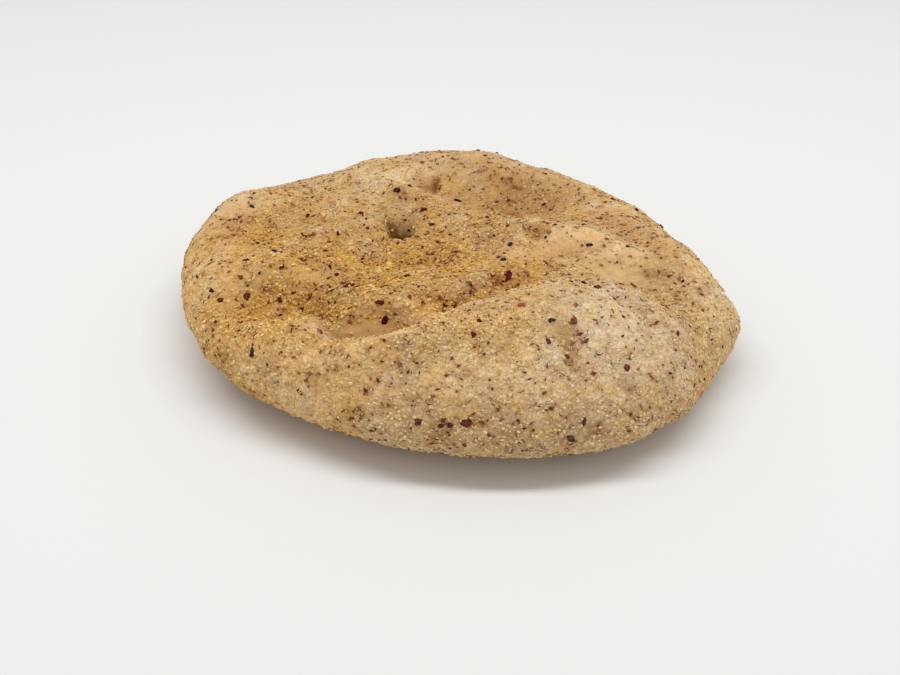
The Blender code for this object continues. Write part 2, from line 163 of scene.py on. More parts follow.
# Where each finish shows, in millimetres: x, y, half length, half width, turn in degrees, strength.
ZONES = {
    "golden": (
        (20.6, -38, 1.6, 2.4, 8, 0.7), (-12, -26.2, 4, 2.6, 0, 0.35), (-13, -33.5, 9, 2.2, 8, 0.4),
        (16.8, -4, 3, 1.8, 0, 0.8), (-35, -27.5, 12, 4.5, -20, 0.5), (-19, -22.2, 7, 2.8, -10, 0.5),
        (-18.5, -9.5, 23, 11, 4, 0.8), (-34.5, -19.5, 10, 5, -12, 0.65),
        (17.5, -8.5, 12, 4.2, 8, 0.68), (3, -19, 13, 3, 30, 0.6), (3, 0, 12, 9, 0, 0.45),
        (-42, 4.5, 9, 6, 10, 0.7), (-2, -37.5, 10, 2.6, 10, 0.3), (17.3, -0.2, 2.6, 1.8, 0, 0.9),
        (20, -34.6, 3, 2.1, -15, 0.9), (-5.4, 21.8, 3.6, 2.4, -32, 0.45), (-37, 18, 11, 8, 30, 0.3),
    ),
    "floured": (
        (-16.5, 17, 4, 4, 0, 0.35), (-9, 24, 4, 3, 0, 0.4), (26.2, -35.2, 3, 2, 20, 0.5),
        (-22.5, -29.5, 3.4, 1.4, 12, 0.6), (24.5, -36.3, 2.2, 2.2, 0, 0.6),
        (32.8, -37, 3.5, 2.4, -20, 0.4), (-13, 22.5, 6, 4.5, 0, 0.3), (39, -35, 7, 5, -30, 0.25),
        (-31.2, 25.3, 6, 4, 30, 0.35), (5, 39, 42, 11, 0, 0.5), (31.8, -15.7, 7, 4.5, 12, 0.25),
        (25, -5, 19, 7, -15, 0.38), (43, 6, 14, 14, 0, 0.12), (4, -43, 22, 8, 0, 0.25),
        (28, -32, 15, 9, 0, 0.55), (27.5, -31, 8, 5, 0, 0.5), (30, -24, 5.5, 1.8, 12, 0.7),
        (17.3, -38.4, 2.2, 2.4, 0, 0.8), (22.8, -34.8, 1.6, 3, 0, 0.7), (28, -40, 3.5, 3.5, 0, 0.6),
        (10, -45, 26, 6, 4, 0.28), (-26.7, -41.5, 5, 2.2, -30, 0.5),
        (-12.2, -47.2, 3, 1.6, -15, 0.5), (-16, 24, 10, 5, -38, 0.3), (-46, 15, 6, 10, 20, 0.35),
        (54.1, -11.8, 2.6, 1.8, 0, 1), (49, -18, 7, 11, 0, 0.35), (24, -46, 13, 7, 12, 0.28),
    ),
    # Greyer, darker skin: partly fine flour, partly painted shade, mostly along the back rim.
    "dulled_and_shaded": (
        (31, -14.2, 7, 4, -4, 0.25), (31, -42.5, 1.4, 1, 0, 0.5), (27, -38.5, 3.2, 1.4, 0, 0.6),
        (21.8, 23.6, 9, 7, -20, 0.35), (-46.2, 10, 5, 7, 10, 0.2), (0, 49, 50, 8.5, 0, 0.75),
        (-42, 27, 18, 6, 50, 0.7), (35, 35, 22, 6, -43, 0.6), (5, 35, 30, 12, 0, 0.2),
    ),
    "amber": (
        (-29, -34.5, 11, 5, -28, 0.25), (-48, -6, 8, 21, 0, 0.45), (-30, -38, 24, 11, -30, 0.45),
        (-20, -23, 6, 2.8, -10, 0.4),
    ),
    "bare": (
        (-22.2, -29, 4.2, 2, 12, 0.6), (19, -5.2, 8.5, 3.2, 4, 0.35),
        (54.1, -11.8, 2.4, 1.6, 0, 0.8), (-15.2, -26.4, 6, 3.4, 6, 0.95),
        (31.6, -14.2, 7.4, 4.2, -4, 0.85), (-10.2, 8.8, 3.2, 4.6, 0, 0.9),
        (19.8, -34.8, 3.2, 2.2, -15, 0.5), (20.6, -38.6, 1, 3, 8, 0.4),
        (17.3, -0.3, 2, 1.3, 0, 0.3), (-26.2, -12.4, 8, 2.6, 6, 0.7), (-47, 9, 6, 6, 0, 0.3),
        (-40, -14.5, 7, 3, 10, 0.45), (-5.4, 21.8, 3.4, 2.4, -32, 0.45),
    ),
    # Reddish-brown spots where the skin toasted, and painted shade in the rear hollow, the right hollow and
    # along the inside of the front lip.
    "toasted_and_shaded": (
        (-14, -32.5, 6, 2, 8, 0.4), (-21.5, -19, 3, 1.8, -10, 0.35), (-15, -31.2, 7.5, 1.8, 6, 0.4),
        (-20.5, -15, 3.5, 2.4, 0, 0.4), (17, 23.5, 1.6, 1, 20, 0.8), (11, 22.5, 1.8, 0.9, -15, 0.8),
        (21, 17.5, 1.7, 1.1, 0, 0.8), (7.5, 30, 1.6, 1.1, 0, 0.7), (9.5, 16.5, 1.2, 0.9, 40, 0.75),
        (15.5, 18, 1.3, 1, 0, 0.7), (2, 28, 2, 1, 10, 0.5), (29, 13, 1.4, 1, 0, 0.6),
        (44, -10, 1.6, 1.2, 0, 0.6), (47, -19, 1.4, 1, 30, 0.6), (40, -26, 1.2, 1, 0, 0.6),
        (-25, 19, 1.4, 0.8, 0, 0.4), (17.8, -41, 1.8, 1.2, 0, 0.6), (30, -42.5, 2.6, 1.5, 0, 0.5),
        (-10, -45.7, 12, 3.4, -8, 0.4), (3.8, -5.6, 3.6, 2.8, 0, 0.55), (14.5, 18, 12, 8, -10, 0.8),
        (2.6, -4.5, 5, 3, 0, 0.6), (41, -16, 5.5, 7.5, 0, 0.6), (-41, -2, 6, 5, 0, 0.3),
        (20.4, -35.2, 2.6, 1.8, -15, 0.45), (-10.4, 10, 3, 2.4, 0, 0.4),
        (-5.4, 21.8, 3.4, 2.2, -32, 0.1), (34.5, 6, 11, 7, -20, 0.55), (5, 35, 25, 8, 0, 0.38),
        (4, -48, 26, 5, 4, 0.15), (20, -47, 8, 4, 10, 0.2), (42, -4.5, 6, 5.5, 0, 0.6),
        (27, -10.5, 6, 4, 0, 0.3), (4, 3.5, 4.5, 6, 0, 0.4), (-44, 5, 6, 4, 10, 0.3),
        (-45, -23, 7, 4, -30, 0.3),
    ),
    # Painted shade at the bottoms of the pits, in the burst's cracks and in the dimple's crease.
    "pit_shade": (
        (20.3, -35.4, 2.6, 1.5, -15, 0.14), (-11.4, 9.2, 2.2, 1.4, 10, 0.85),
        (-11.2, 7.8, 2.6, 2.4, 0, 0.8), (-16, -26.6, 6, 1.1, 6, 0.4),
        (-3, 23.4, 1.1, 0.9, -30, 0.95), (-22.5, -24, 4, 1.2, -52, 0.25),
        (20.6, -36.4, 1.8, 0.7, -15, 0.6), (20.6, -38.8, 0.7, 2.6, 8, 0.7),
        (17.3, -0.6, 1.8, 0.9, 0, 0.25),
    ),
    # Partly paler skin, partly painted light: it lifts the rims, the front and the floor of the front dimple
    # where the lamp leaves them darker.
    "light": (
        (-40, 15, 10, 5, 30, 0.4), (-14.8, 20.5, 5, 3.5, 0, 0.7), (-9, 24, 4, 3, 0, 0.4),
        (-12, 12.5, 5, 3, 0, 0.5), (-0.5, -27, 6, 3, 10, 0.5), (17.2, -4.8, 11, 4.2, 5, 0.5),
        (-30, -34.5, 15, 6, -28, 0.55), (27, -42, 10, 5, 15, 0.25), (-16, -24.5, 6, 3, 6, 0.4),
        (-4, -22.5, 8, 3, 20, 0.4), (0, -18.5, 5, 2.5, 25, 0.3), (16, -7, 9, 3, 8, 0.45),
        (-11.3, -23.6, 4, 1.8, 0, 0.5), (-47, -2, 9, 24, 0, 0.95), (-36, -35, 20, 10, -38, 0.75),
        (51, -10, 8, 20, 10, 0.75), (23, -6, 20, 6, -10, 0.75), (6, -38.5, 26, 7, 14, 0.95),
        (-10, -36.5, 16, 3, 8, 0.6), (-32.5, -13, 15, 4.4, 6, 0.85), (-30, -40, 16, 8, -25, 0.5),
        (50, -21, 7, 11, -10, 0.8), (28, -44, 16, 7, 15, 0.2),
    ),
    "torn": (
        (30, -23.8, 10, 2.6, -30, 1), (29, -33, 11, 8, 0, 0.6), (17.3, -38.4, 3, 3, 0, 0.8),
        (40, -29, 6, 5, -30, 0.5), (54.1, -11.8, 2.6, 1.8, 0, 1),
    ),
    "smooth": (
        (0, 40, 60, 22, 0, 0.85), (-48, 10, 12, 22, 0, 0.5), (42, 8, 22, 22, 0, 0.6),
        (25, -6, 18, 5, -10, 0.45), (30, -33, 16, 11, 0, 0.45), (-29, -38, 19, 8, -25, 0.1),
        (0, -44, 24, 6, -4, 0.25),
    ),
}
ZONE_STEEPNESS = 1.4  # how sharply a finish ends at its oval

# Cloudy patches that a finish has besides its ovals: across one patch, shift, where the cloud
# begins to show, where it is full, strength.
PATCHES = {
    "golden": (0.0064, Vector((3, 6, 1)), 0.00, 0.45, 0.40),
    "floured": (0.0056, Vector((8, 2, 5)), 0.10, 0.50, 0.50),
    "toasted_and_shaded": (0.0034, Vector((1, 7, 9)), 0.12, 0.55, 0.42),
}
# Where patches give way, and how far.
PATCH_CLEARINGS = {
    "golden": (("bare", 1.0), ("smooth", 0.45), ("floured", 0.7)),
    "floured": (("bare", 1.0), ("smooth", 0.45), ("golden", 0.9), ("amber", 0.8)),
    "toasted_and_shaded": (("bare", 1.0), ("light", 0.5), ("amber", 0.8)),
}
STAIN_REACH = 0.00042  # how far the brown of a piece of bran bleeds into the skin
STAIN_STRENGTH = 0.28
STAIN_LIMIT = 0.60
# The light skin that grains take includes painted light.
CARRIED = ("golden", "floured", "stained", "light")  # what a grain takes from the skin below it

# ------------------------------------------------------------------ what lies on the crust

BARE_BELOW = 0.0008  # the foot carries nothing
COVERED_ABOVE = 0.0045
LEAST_DENSITY = 0.004
COARSE_CLUMPS = (0.7, 3)  # strength and size of a second pattern, against the clumps' own


class Kind(NamedTuple):
    """How one kind of scrap is strewn over the crust and shaped."""

    gains: dict  # what each finish adds to its density
    clump: float  # across one clump
    clumping: float  # how strongly it gathers in clumps
    bias: float  # above 1, the short ones prevail
    shortest: float
    longest: float
    widths: tuple  # ends of a draw, or one share of the length for all
    heights: tuple
    flat: float  # height that doesn't depend on the length
    ragged: tuple  # share of its size that each corner of a grain reaches
    tilt: float  # spread of its slant against the crust


SPECK_GAINS = {
    "base": 1.0, "golden": 0.50, "floured": -0.15, "bare": -0.85,
    "toasted_and_shaded": 0.45, "smooth": -0.25, "light": -0.22, "amber": -0.05,
}
PALE_MEAL = Kind(
    {"base": 1.0, "golden": -0.55, "floured": 0.20, "bare": -0.95, "toasted_and_shaded": -0.35, "smooth": -0.88},
    0.0022, 1.3, 1.8, 0.00038, 0.00118, (0.6, 0.95), (0.32, 0.58), 0.0, (0.75, 1.2), 0.28,
)
GOLDEN_MEAL = PALE_MEAL._replace(gains={
    "base": 0.45, "golden": 0.75, "floured": -0.25, "bare": -0.85, "toasted_and_shaded": 0.10, "smooth": -0.72,
})
SPECK = Kind(
    SPECK_GAINS,
    0.0035, 0.9, 2.4, 0.00026, 0.00131, (0.35, 0.8), 0.0, 0.00014, (0.7, 1.2), 0.15,
)
BIT = Kind(
    {"base": 0.40, "golden": 0.60, "floured": 0.0, "bare": -0.40, "smooth": -0.2},
    0.006, 0.6, 1.0, 0.00035, 0.00062, 0.8, 0.7, 0.0, (0.85, 1.15), 0.2,
)
CRUMB = Kind(
    {"base": 0.02, "torn": 0.8, "golden": -0.10, "floured": 1.0, "bare": -1.50, "toasted_and_shaded": -0.10},
    0.003, 1.5, 2.0, 0.0003, 0.0009, (0.6, 1), 0.6, 0.0, (0.7, 1.2), 0.3,
)
# A thread's widths are its bends and its heights are its radii, in metres.
THREAD = Kind(
    SPECK_GAINS, 0.0035, 1.3, 1.8, 0.0005, 0.0015, (-0.8, 0.8), (0.00006, 0.00013), 0.0, (1, 1), 0.0
)
FIBRE = Kind(
    {"base": 0.0, "torn": 1.0},
    0.003, 0.8, 1.5, 0.0005, 0.0016, (-0.7, 0.7), (0.00005, 0.00009), 0.0, (1, 1), 0.0,
)

# How far scraps stand out of the crust: meal by shares of its height, specks and threads by metres,
# bits and crumbs by shares of their length.
MEAL_RAISED = (-0.15, 0.2)
SPECK_RAISED = 0.00007
SPECK_SINKS = 0.6  # where the skin is smooth
THREAD_RAISED = 0.00012
FIBRE_RAISED = 0.00003
BIT_RAISED = 0.2
CRUMB_RAISED = 0.02
LUMP_RAISED = 0.25

MEAL_SHRINKS = 0.3  # where the skin is smooth
MEAL_GROWS = 0.25  # where it is golden
MEAL_IN_CREVICE_SHADE = 0.45
MEAL_ON_SMOOTH_SHADE = 0.25
SPECK_GROWS = 0.70  # where specks gather
SPECK_GATHERS_IN_TOASTED = 0.5
BRAN_PALENESS = 0.45  # where it sank into smooth dough
BIT_TINT_BIAS = 2  # towards yellow
FIBRE_STRAY = 0.8  # radians off the tear's heading
TEAR_HEADING = -32.0  # degrees: the way the torn skin's fibres run

OCTAHEDRON = np.array(((1, 0, 0), (0, 1, 0), (-1, 0, 0), (0, -1, 0), (0, 0, 1), (0, 0, -1)), float)
OCTAHEDRON_FACES = np.array(
    ((0, 1, 4), (1, 2, 4), (2, 3, 4), (3, 0, 4), (1, 0, 5), (2, 1, 5), (3, 2, 5), (0, 3, 5))
)

THREAD_STATIONS = 5
THREAD_SIDES = 3

# The largest husk flakes, in millimetres: x, y, length, width, turn in degrees, kind of husk.
LARGE_FLAKES = (
    (21.4, -33, 2.1, 1.4, 84, "rust"), (17.5, -33.2, 1.8, 1.1, 12, "purple"),
    (17, -36.8, 1.6, 1, -48, "red"), (23.3, -36.1, 1.5, 1.1, 15, "rust"),
    (-5.7, -47.8, 1.7, 1.4, 30, "red"), (-1.8, -48.6, 1.3, 1, 0, "red"),
    (-0.1, -48.7, 1.3, 1.2, 60, "red"), (2.3, -48.7, 2.6, 1.9, 5, "red"),
    (20.4, -49.4, 1.8, 1.6, 55, "purple"), (-19.1, -15.8, 2.6, 2.2, 20, "red"),
    (-12.2, -24.3, 2.2, 1.5, 70, "red"), (-28.3, 2.7, 2.8, 1.2, 5, "rust"),
    (-35.2, -3.4, 2.1, 1.2, -8, "purple"), (-40.1, -7.8, 1.7, 1.5, 40, "purple"),
    (-39.1, -15.8, 2, 1.6, 60, "rust"), (-44.2, -16.6, 1.5, 1.3, 20, "rust"),
    (-11.6, 16.2, 1.9, 1.2, -20, "purple"), (-5.8, 10.8, 1.8, 1.6, 0, "red"),
    (-4.4, 6.5, 2.2, 0.9, 2, "purple"), (1.4, 18.3, 2.1, 1.1, 8, "purple"),
    (-18.9, 9.9, 1.4, 1.2, 80, "purple"), (10.3, -6.9, 1.7, 1.5, 30, "purple"),
    (11, -11, 2.8, 1, 84, "red"), (20.5, -11.4, 1.4, 1.2, 20, "rust"),
    (24.4, -20.5, 1.4, 1.1, -60, "purple"), (26.7, -22.6, 1.9, 1.2, -10, "rust"),
    (27.1, -6.1, 1.6, 0.8, -6, "purple"), (34.8, -16.1, 1.8, 1.1, -25, "rust"),
    (12.1, -31.4, 1.8, 1, 24, "rust"), (3.9, -37, 1.3, 1.2, 10, "red"),
    (-8.4, -12.7, 1.8, 1.6, -20, "red"), (-13, -22.6, 2.1, 1.1, -6, "red"),
    (-23.6, -29.7, 1.8, 1.4, -35, "rust"), (-35.5, -32.1, 2.4, 1.1, 62, "purple"),
    (-22, -12.5, 1.4, 1.3, 30, "red"), (22.5, -47.9, 1.6, 0.8, 80, "red"),
    (30.2, -39.6, 1.4, 1.2, 60, "red"),
)
# The scattered flakes, drawn as in the part's source.
FLAKE_COUNT = 88
FLAKE_LENGTHS = (0.0009, 0.0017)
FLAKE_WIDTH_SHARES = (0.5, 0.9)
FLAKE_LENGTH_BIAS = 2
FLAKE_GAP = 0.0010
FLAKE_EDGE_SHARE = 0.965
FLAKE_SEED = 7
KIND_SHARES = {"purple": 0.37, "red": 0.55, "rust": 0.08}
FLAKE_POINTS = 6  # round the outline
FLAKE_RAGGEDNESS = (0.62, 1.22)
FLAKE_PROUD = 0.00030
FLAKE_SUNK = 0.00025
FLAKE_CURL = (-0.0001, 0.0003)
FLAKE_LIFT = (0.5, 1.1)  # of the flat middle's edge, as shares of the height
FLAKE_INNER_SHARE = 0.62  # where the flake's flat middle ends
HUSK_SHADES = (0.6, 1, 1.8)  # darkest, usual and lightest, against the colour set

# Bright bits of maize that stand out, in millimetres: x, y, length, tint from yellow at 0 to
# orange at 1.
BRIGHT_BITS = (
    (18.6, -32.1, 0.6, 0), (35, -23.6, 0.7, 0.1), (43.2, -32.1, 0.6, 0.1), (21.5, -44.5, 0.8, 0),
    (4.8, -39.2, 1, 0.8), (7.8, -40.2, 0.8, 0.6), (0.8, -37.6, 0.7, 0.2), (11.9, -47.6, 0.7, 0.1),
    (-19.7, -4.5, 0.8, 0.1), (-15.4, -24.1, 0.9, 1), (16.2, -6.7, 0.8, 0.1), (25.4, -47.9, 0.8, 0),
)
# Lumps of clean flour that stand out, in millimetres: x, y, length.
FLOUR_LUMPS = ((53.8, -11.2, 1.6), (54.5, -11.6, 1.3), (53, -11.8, 1.1))

# Seeds of the random draws.
PALE_SEED, GOLDEN_SEED, SPECK_SEED, THREAD_SEED, FIRST_HUSK_SEED = 11, 12, 21, 22, 31
BIT_SEED, FIBRE_SEED = 41, 42

# ------------------------------------------------------------------ how materials look

MIX_FACTOR, MIX_A, MIX_B, MIX_RESULT = 0, 6, 7, 2  # sockets of a Mix node set to colour

# Cloudy patterns in the crust's colour: across one patch, detail, roughness.
PATTERNS = {
    "browning": (0.012, 3.0, 0.5),
    "staining": (0.005, 4.0, 0.5),
    "mottling": (0.003, 5.0, 0.65),
    "dust": (0.0014, 4.0, 0.6),
}
GRIT_SIZE = 0.0005  # across one fine grain pressed into the skin
GRIT_SHADES = (0.84, 1.10)
GRIT_GAPS = (0.45, 0.85, 0.0, 0.45)  # where gaps begin and are full, least and most shade
GRIT_ON_SMOOTH = 0.20  # what is left of the fine meal there
FIBRE_LENGTH = 0.0040
FIBRE_WIDTH = 0.0006
FIBRE_DETAIL = (3.0, 0.6)
TAN_MOTTLES = (0.35, 0.65)
# Colours laid over the tan, in order: where, the pattern that breaks it up, where the pattern
# begins to show and is full, least and most cover, colour.
LAYERS = (
    ("", "browning", 0.45, 0.75, 0.0, 0.5, "brown"),
    # Partly paler skin, partly painted light on the rims and the front.
    ("light", "mottling", 0.20, 0.50, 0.25, 1.0, "light"),
    ("amber", "mottling", 0.10, 0.50, 0.25, 1.0, "amber"),
    ("golden", "mottling", 0.15, 0.50, 0.25, 1.0, "golden"),
    ("under", "browning", 0.20, 0.60, 0.25, 1.0, "brown"),
    ("floured", "dust", 0.35, 0.60, 0.25, 1.0, "flour"),
    # Partly fine flour, partly painted shade along the back rim.
    ("dulled_and_shaded", "mottling", 0.10, 0.50, 0.25, 1.0, "dulled_and_shaded"),
    ("bare", "mottling", 0.25, 0.60, 0.25, 1.0, "bare"),
    # Toasted spots, partly painted shade in hollows and inside the front lip.
    ("toasted_and_shaded", "mottling", 0.35, 0.65, 0.25, 1.0, "toasted_and_shaded"),
    # Painted shade in the creases and the hollows between lumps.
    ("crevice_shade", "mottling", 0.30, 0.60, 0.25, 1.0, "gap"),
    # Painted shade at the bottoms of the pits and cracks.
    ("pit_shade", "mottling", 0.00, 0.20, 0.25, 1.0, "pit_shade"),
    ("bare", "dust", 0.46, 0.62, 0.0, 0.35, "brown"),
    ("meal", "staining", 0.56, 0.66, 0.0, 0.45, "yellowed"),
    ("stained", "mottling", 0.30, 0.60, 0.5, 1.0, "toasted_and_shaded"),
    ("torn", "fibres", 0.48, 0.62, 0.0, 0.8, "flour"),
    ("meal", "dust", 0.58, 0.70, 0.0, 0.3, "flour"),
)
# Bumps in the crust, each over the one before: pattern, where, strength, depth.
BUMPS = (
    ("crags", "meal", 0.6, 0.0006),
    ("mottling", "", 0.5, 0.0005),
    ("fibres", "torn", 0.9, 0.0005),
    ("shade", "", 0.25, 0.00012),
)
CRAG_SIZE = 0.0026
CRAGS = {"Detail": 5.0, "Roughness": 0.6, "Offset": 0.9, "Gain": 1.5}
ROUGHNESS_MEALY = 0.88
ROUGHNESS_BARE = 0.60
DOUGH = {
    "IOR": 1.45, "Specular IOR Level": 0.15, "Subsurface Weight": 0.5,
    "Subsurface Radius": (0.0016, 0.0008, 0.0004), "Subsurface Scale": 1.0,
}
GRAIN = {"IOR": 1.47, "Subsurface Radius": (0.0005, 0.0003, 0.00015), "Subsurface Scale": 1.0}
GRAIN_BUMP = (0.4, 0.00005)  # strength, depth
FLECKS = (0.3, 0.7)  # where flecks begin and are full
FLECK_DETAIL = 2.0
MAIZE_DUST = 0.6  # how much yellower the most golden skin makes meal


class Look(NamedTuple):
    """How one kind of grain looks."""

    roughness: float
    gloss: float
    glow: float  # how much light goes through it
    dusting: float  # how much flour takes on it
    fleck: float  # across one fleck
    flecked: float  # how much flecks lighten and darken it
    # Partly painted light, as the light skin is.
    light: float = 1.0  # how much lighter it is on light skin
    yellow: float = 0.0  # how yellow it is by itself
    stain: float = 0.0  # how far bran browns it


MEAL_LOOK = Look(0.7, 0.12, 0.4, 1.0, 0.0003, 0.14, 1.10, 0.08, 0.55)
MAIZE_LOOK = Look(0.6, 0.15, 0.4, 0.9, 0.0003, 0.14, 1.10, 0.45, 0.55)
BRAN_LOOK = Look(0.75, 0.03, 0.0, 0.10, 0.0002, 0.25)
HUSK_LOOK = Look(0.6, 0.03, 0.0, 0.12, 0.0004, 0.5)
BIT_LOOK = Look(0.45, 0.15, 0.4, 0.5, 0.0004, 0.14)
LUMP_LOOK = Look(0.95, 0.10, 0.3, 0.0, 0.0003, 0.08)
CRUMB_LOOK = Look(0.95, 0.10, 0.3, 0.6, 0.0003, 0.14)

FLOOR_SIDE = 4.0
FLOOR_GAP = 0.0001  # keeps the floor clear of the foot
FLOOR_ROUGHNESS = 0.9
WORLD_STRENGTH = 0.55
STRIP_SIZE = (0.9, 0.12)
STRIP_PLACE = (0.0, 0.02, 0.6)
LOOK_AT = Vector((-0.0002, -0.0137, 0.006))
SENSOR_WIDTH = 36.0  # millimetres
CLIP_START = 0.005


# ------------------------------------------------------------------ the loaf's form


def smooth_ring(knots, angle):
    """Value at each angle of a smooth closed curve through evenly spaced knots."""
    knots = np.asarray(knots)
    place = (angle % FULL_TURN) / FULL_TURN * len(knots)
    first = np.floor(place).astype(int)
    t = place - first
    a, b, c, d = (knots[(first + step) % len(knots)] for step in (-1, 0, 1, 2))
    return b + 0.5 * t * (c - a + t * (2 * a - 5 * b + 4 * c - d + t * (3 * b - a - 3 * c + d)))


def outline_radius(angle):
    """Plan radius of the girth."""
    off_tip = (np.degrees(angle) - TIP_BEARING + 180) % 360 - 180
    tip = TIP_REACH * np.exp(-((off_tip / TIP_HALF_WIDTH) ** 2))
    return MM * smooth_ring(OUTLINE_RADII, angle) + tip


def girth_height(angle):
    """Height of the widest line above the table."""
    return GIRTH_HEIGHT + GIRTH_TILT * np.cos(angle - math.radians(GIRTH_HIGH_BEARING))


def oval_distance(points, centre_x, centre_y, half_length, half_width, turn):
    """Squared distance in plan from the centre of an oval given in millimetres, 1 on the oval."""
    east = points[..., 0] / MM - centre_x
    north = points[..., 1] / MM - centre_y
    cos_turn = math.cos(math.radians(turn))
    sin_turn = math.sin(math.radians(turn))
    along = (east * cos_turn + north * sin_turn) / half_length
    across = (north * cos_turn - east * sin_turn) / half_width
    return along**2 + across**2


def relief(spots):
    """Height that the swells add and the dents take away."""
    rise = 0.0
    for *oval, height in SWELLS.values():
        rise = rise + height * np.exp(-oval_distance(spots, *oval))
    for *oval, depth, steepness in DENTS.values():
        rise = rise - depth * np.exp(-(oval_distance(spots, *oval) ** steepness))
    return MM * rise


def top_height(share, angle):
    """Height of the upper crust at a share of the radius."""
    girth = girth_height(angle)
    full = np.maximum(1 - np.clip(share, 0, 1) ** CROWN_FLATNESS, 0) ** (1 / CROWN_SHOULDER)
    shaped = relief(plan_spots(share, angle))
    return girth + (CROWN_HEIGHT - girth) * full + shaped * np.clip(full * RELIEF_RISE, 0, 1)


def under_height(share, angle):
    """Height of the underside: flat foot, then a quarter-round up to the girth."""
    outward = np.clip((share - FOOT_SHARE) / (1 - FOOT_SHARE), 0, 1)
    return girth_height(angle) * (1 - np.sqrt(1 - outward**2))


def plan_spots(share, angle):
    """Places in the plan at a share of the radius."""
    radius = share * outline_radius(angle)
    return np.stack((radius * np.cos(angle), radius * np.sin(angle)), axis=-1)


def even_shares(count, height):
    """Shares of the radius that divide a typical profile into equal lengths."""
    share = 1 - np.linspace(1, 0, PROFILE_STEPS + 1) ** 3
    radius = MM * np.mean(OUTLINE_RADII)
    steps = np.hypot(np.diff(share) * radius, np.diff(height(share, np.zeros_like(share))))
    length = np.concatenate(([0.0], np.cumsum(steps)))
    return np.interp(np.linspace(0, length[-1], count + 1), length, share)


def disc_grid(count):
    """Ring number and angle of each point of a square grid drawn out to a disc."""
    line = np.arange(-count, count + 1)
    column, row = np.meshgrid(line, line, indexing="ij")
    ring = np.maximum(abs(column), abs(row))
    safe = np.maximum(ring, 1)
    quarter = math.pi / 4
    sides = (
        (column == ring, quarter * row / safe),
        (column == -ring, math.pi - quarter * row / safe),
        (row == ring, math.pi / 2 - quarter * column / safe),
        (row == -ring, -math.pi / 2 + quarter * column / safe),
    )
    return ring, np.select(*zip(*sides))


def sheet_points(count, height):
    """One side of the loaf, as a grid of points."""
    ring, angle = disc_grid(count)
    share = even_shares(count, height)[ring]
    return np.concatenate((plan_spots(share, angle), height(share, angle)[..., None]), axis=-1)


def grid_quads(index):
    """Corners of each cell of a grid of point numbers."""
    cells = (index[:-1, :-1], index[1:, :-1], index[1:, 1:], index[:-1, 1:])
    return np.stack(cells, axis=-1).reshape(-1, 4)


def zone_strength(name, points):
    """How strongly a finish shows at places, from 0 to 1."""
    clear = 1.0
    for *oval, strength in ZONES[name]:
        clear = clear * (1 - strength * np.exp(-(oval_distance(points, *oval) ** ZONE_STEEPNESS)))
    return 1 - clear


def cloud(points, size, shift=Vector()):
    """A cloudy pattern round zero, with patches of this size."""
    return np.array([noise.noise(Vector(point) / size + shift) for point in points])


def finish_strength(name, points):
    """How strongly a finish shows on the skin, with its patches where nothing clears them."""
    strength = zone_strength(name, points)
    if name not in PATCHES:
        return strength
    size, shift, begins, full, most = PATCHES[name]
    pattern = cloud(points, size, shift) + 0.5 * cloud(points, size / 2, -shift)
    patch = most * np.clip((pattern - begins) / (full - begins), 0, 1)
    for other, clearing in PATCH_CLEARINGS[name]:
        patch *= 1 - clearing * zone_strength(other, points)
    return 1 - (1 - strength) * (1 - patch)


# ------------------------------------------------------------------ meshes from arrays


def read_array(items, field, width=1, kind=float):
    """A field of a mesh's items as an array, in rows if it is wider than 1."""
    values = np.empty(len(items) * width, kind)
    items.foreach_get(field, values)
    return values.reshape(-1, width) if width > 1 else values


def write_attribute(data, name, values):
    """Gives each point of a mesh a number."""
    held = data.attributes.get(name) or data.attributes.new(name, "FLOAT", "POINT")
    held.data.foreach_set("value", np.asarray(values, np.float32))


def write_map(data, corners):
    """Gives the mesh the flat map that its export bakes through."""
    layer = data.uv_layers.new(name=BAKE_MAP)
    layer.uv.foreach_set("vector", np.asarray(corners, np.float32).ravel())


def make_piece(name, points, faces, material):
    """One visible piece that rides with the loaf."""
    old = bpy.data.objects.get(name)
    if old:
        bpy.data.objects.remove(old)
    data = bpy.data.meshes.new(name)
    data.from_pydata(points, (), faces)
    data.materials.append(material)
    piece = bpy.data.objects.new(name, data)
    bpy.context.scene.collection.objects.link(piece)
    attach(piece, BODY)
    return piece


def unit(vectors):
    """Vectors of length 1."""
    return vectors / np.linalg.norm(vectors, axis=-1, keepdims=True)


def axes_on(normals, headings):
    """For each place, its directions along, across and up, with along nearest its heading in plan."""
    ahead = np.stack((np.cos(headings), np.sin(headings), np.zeros_like(headings)), axis=-1)
    up = unit(normals)
    across = unit(np.cross(up, ahead))
    return np.stack((np.cross(across, up), across, up), axis=1)


def point_tree(points):
    """A tree to look up the nearest of these points."""
    tree = KDTree(len(points))
    for number, point in enumerate(points):
        tree.insert(point, number)
    tree.balance()
    return tree


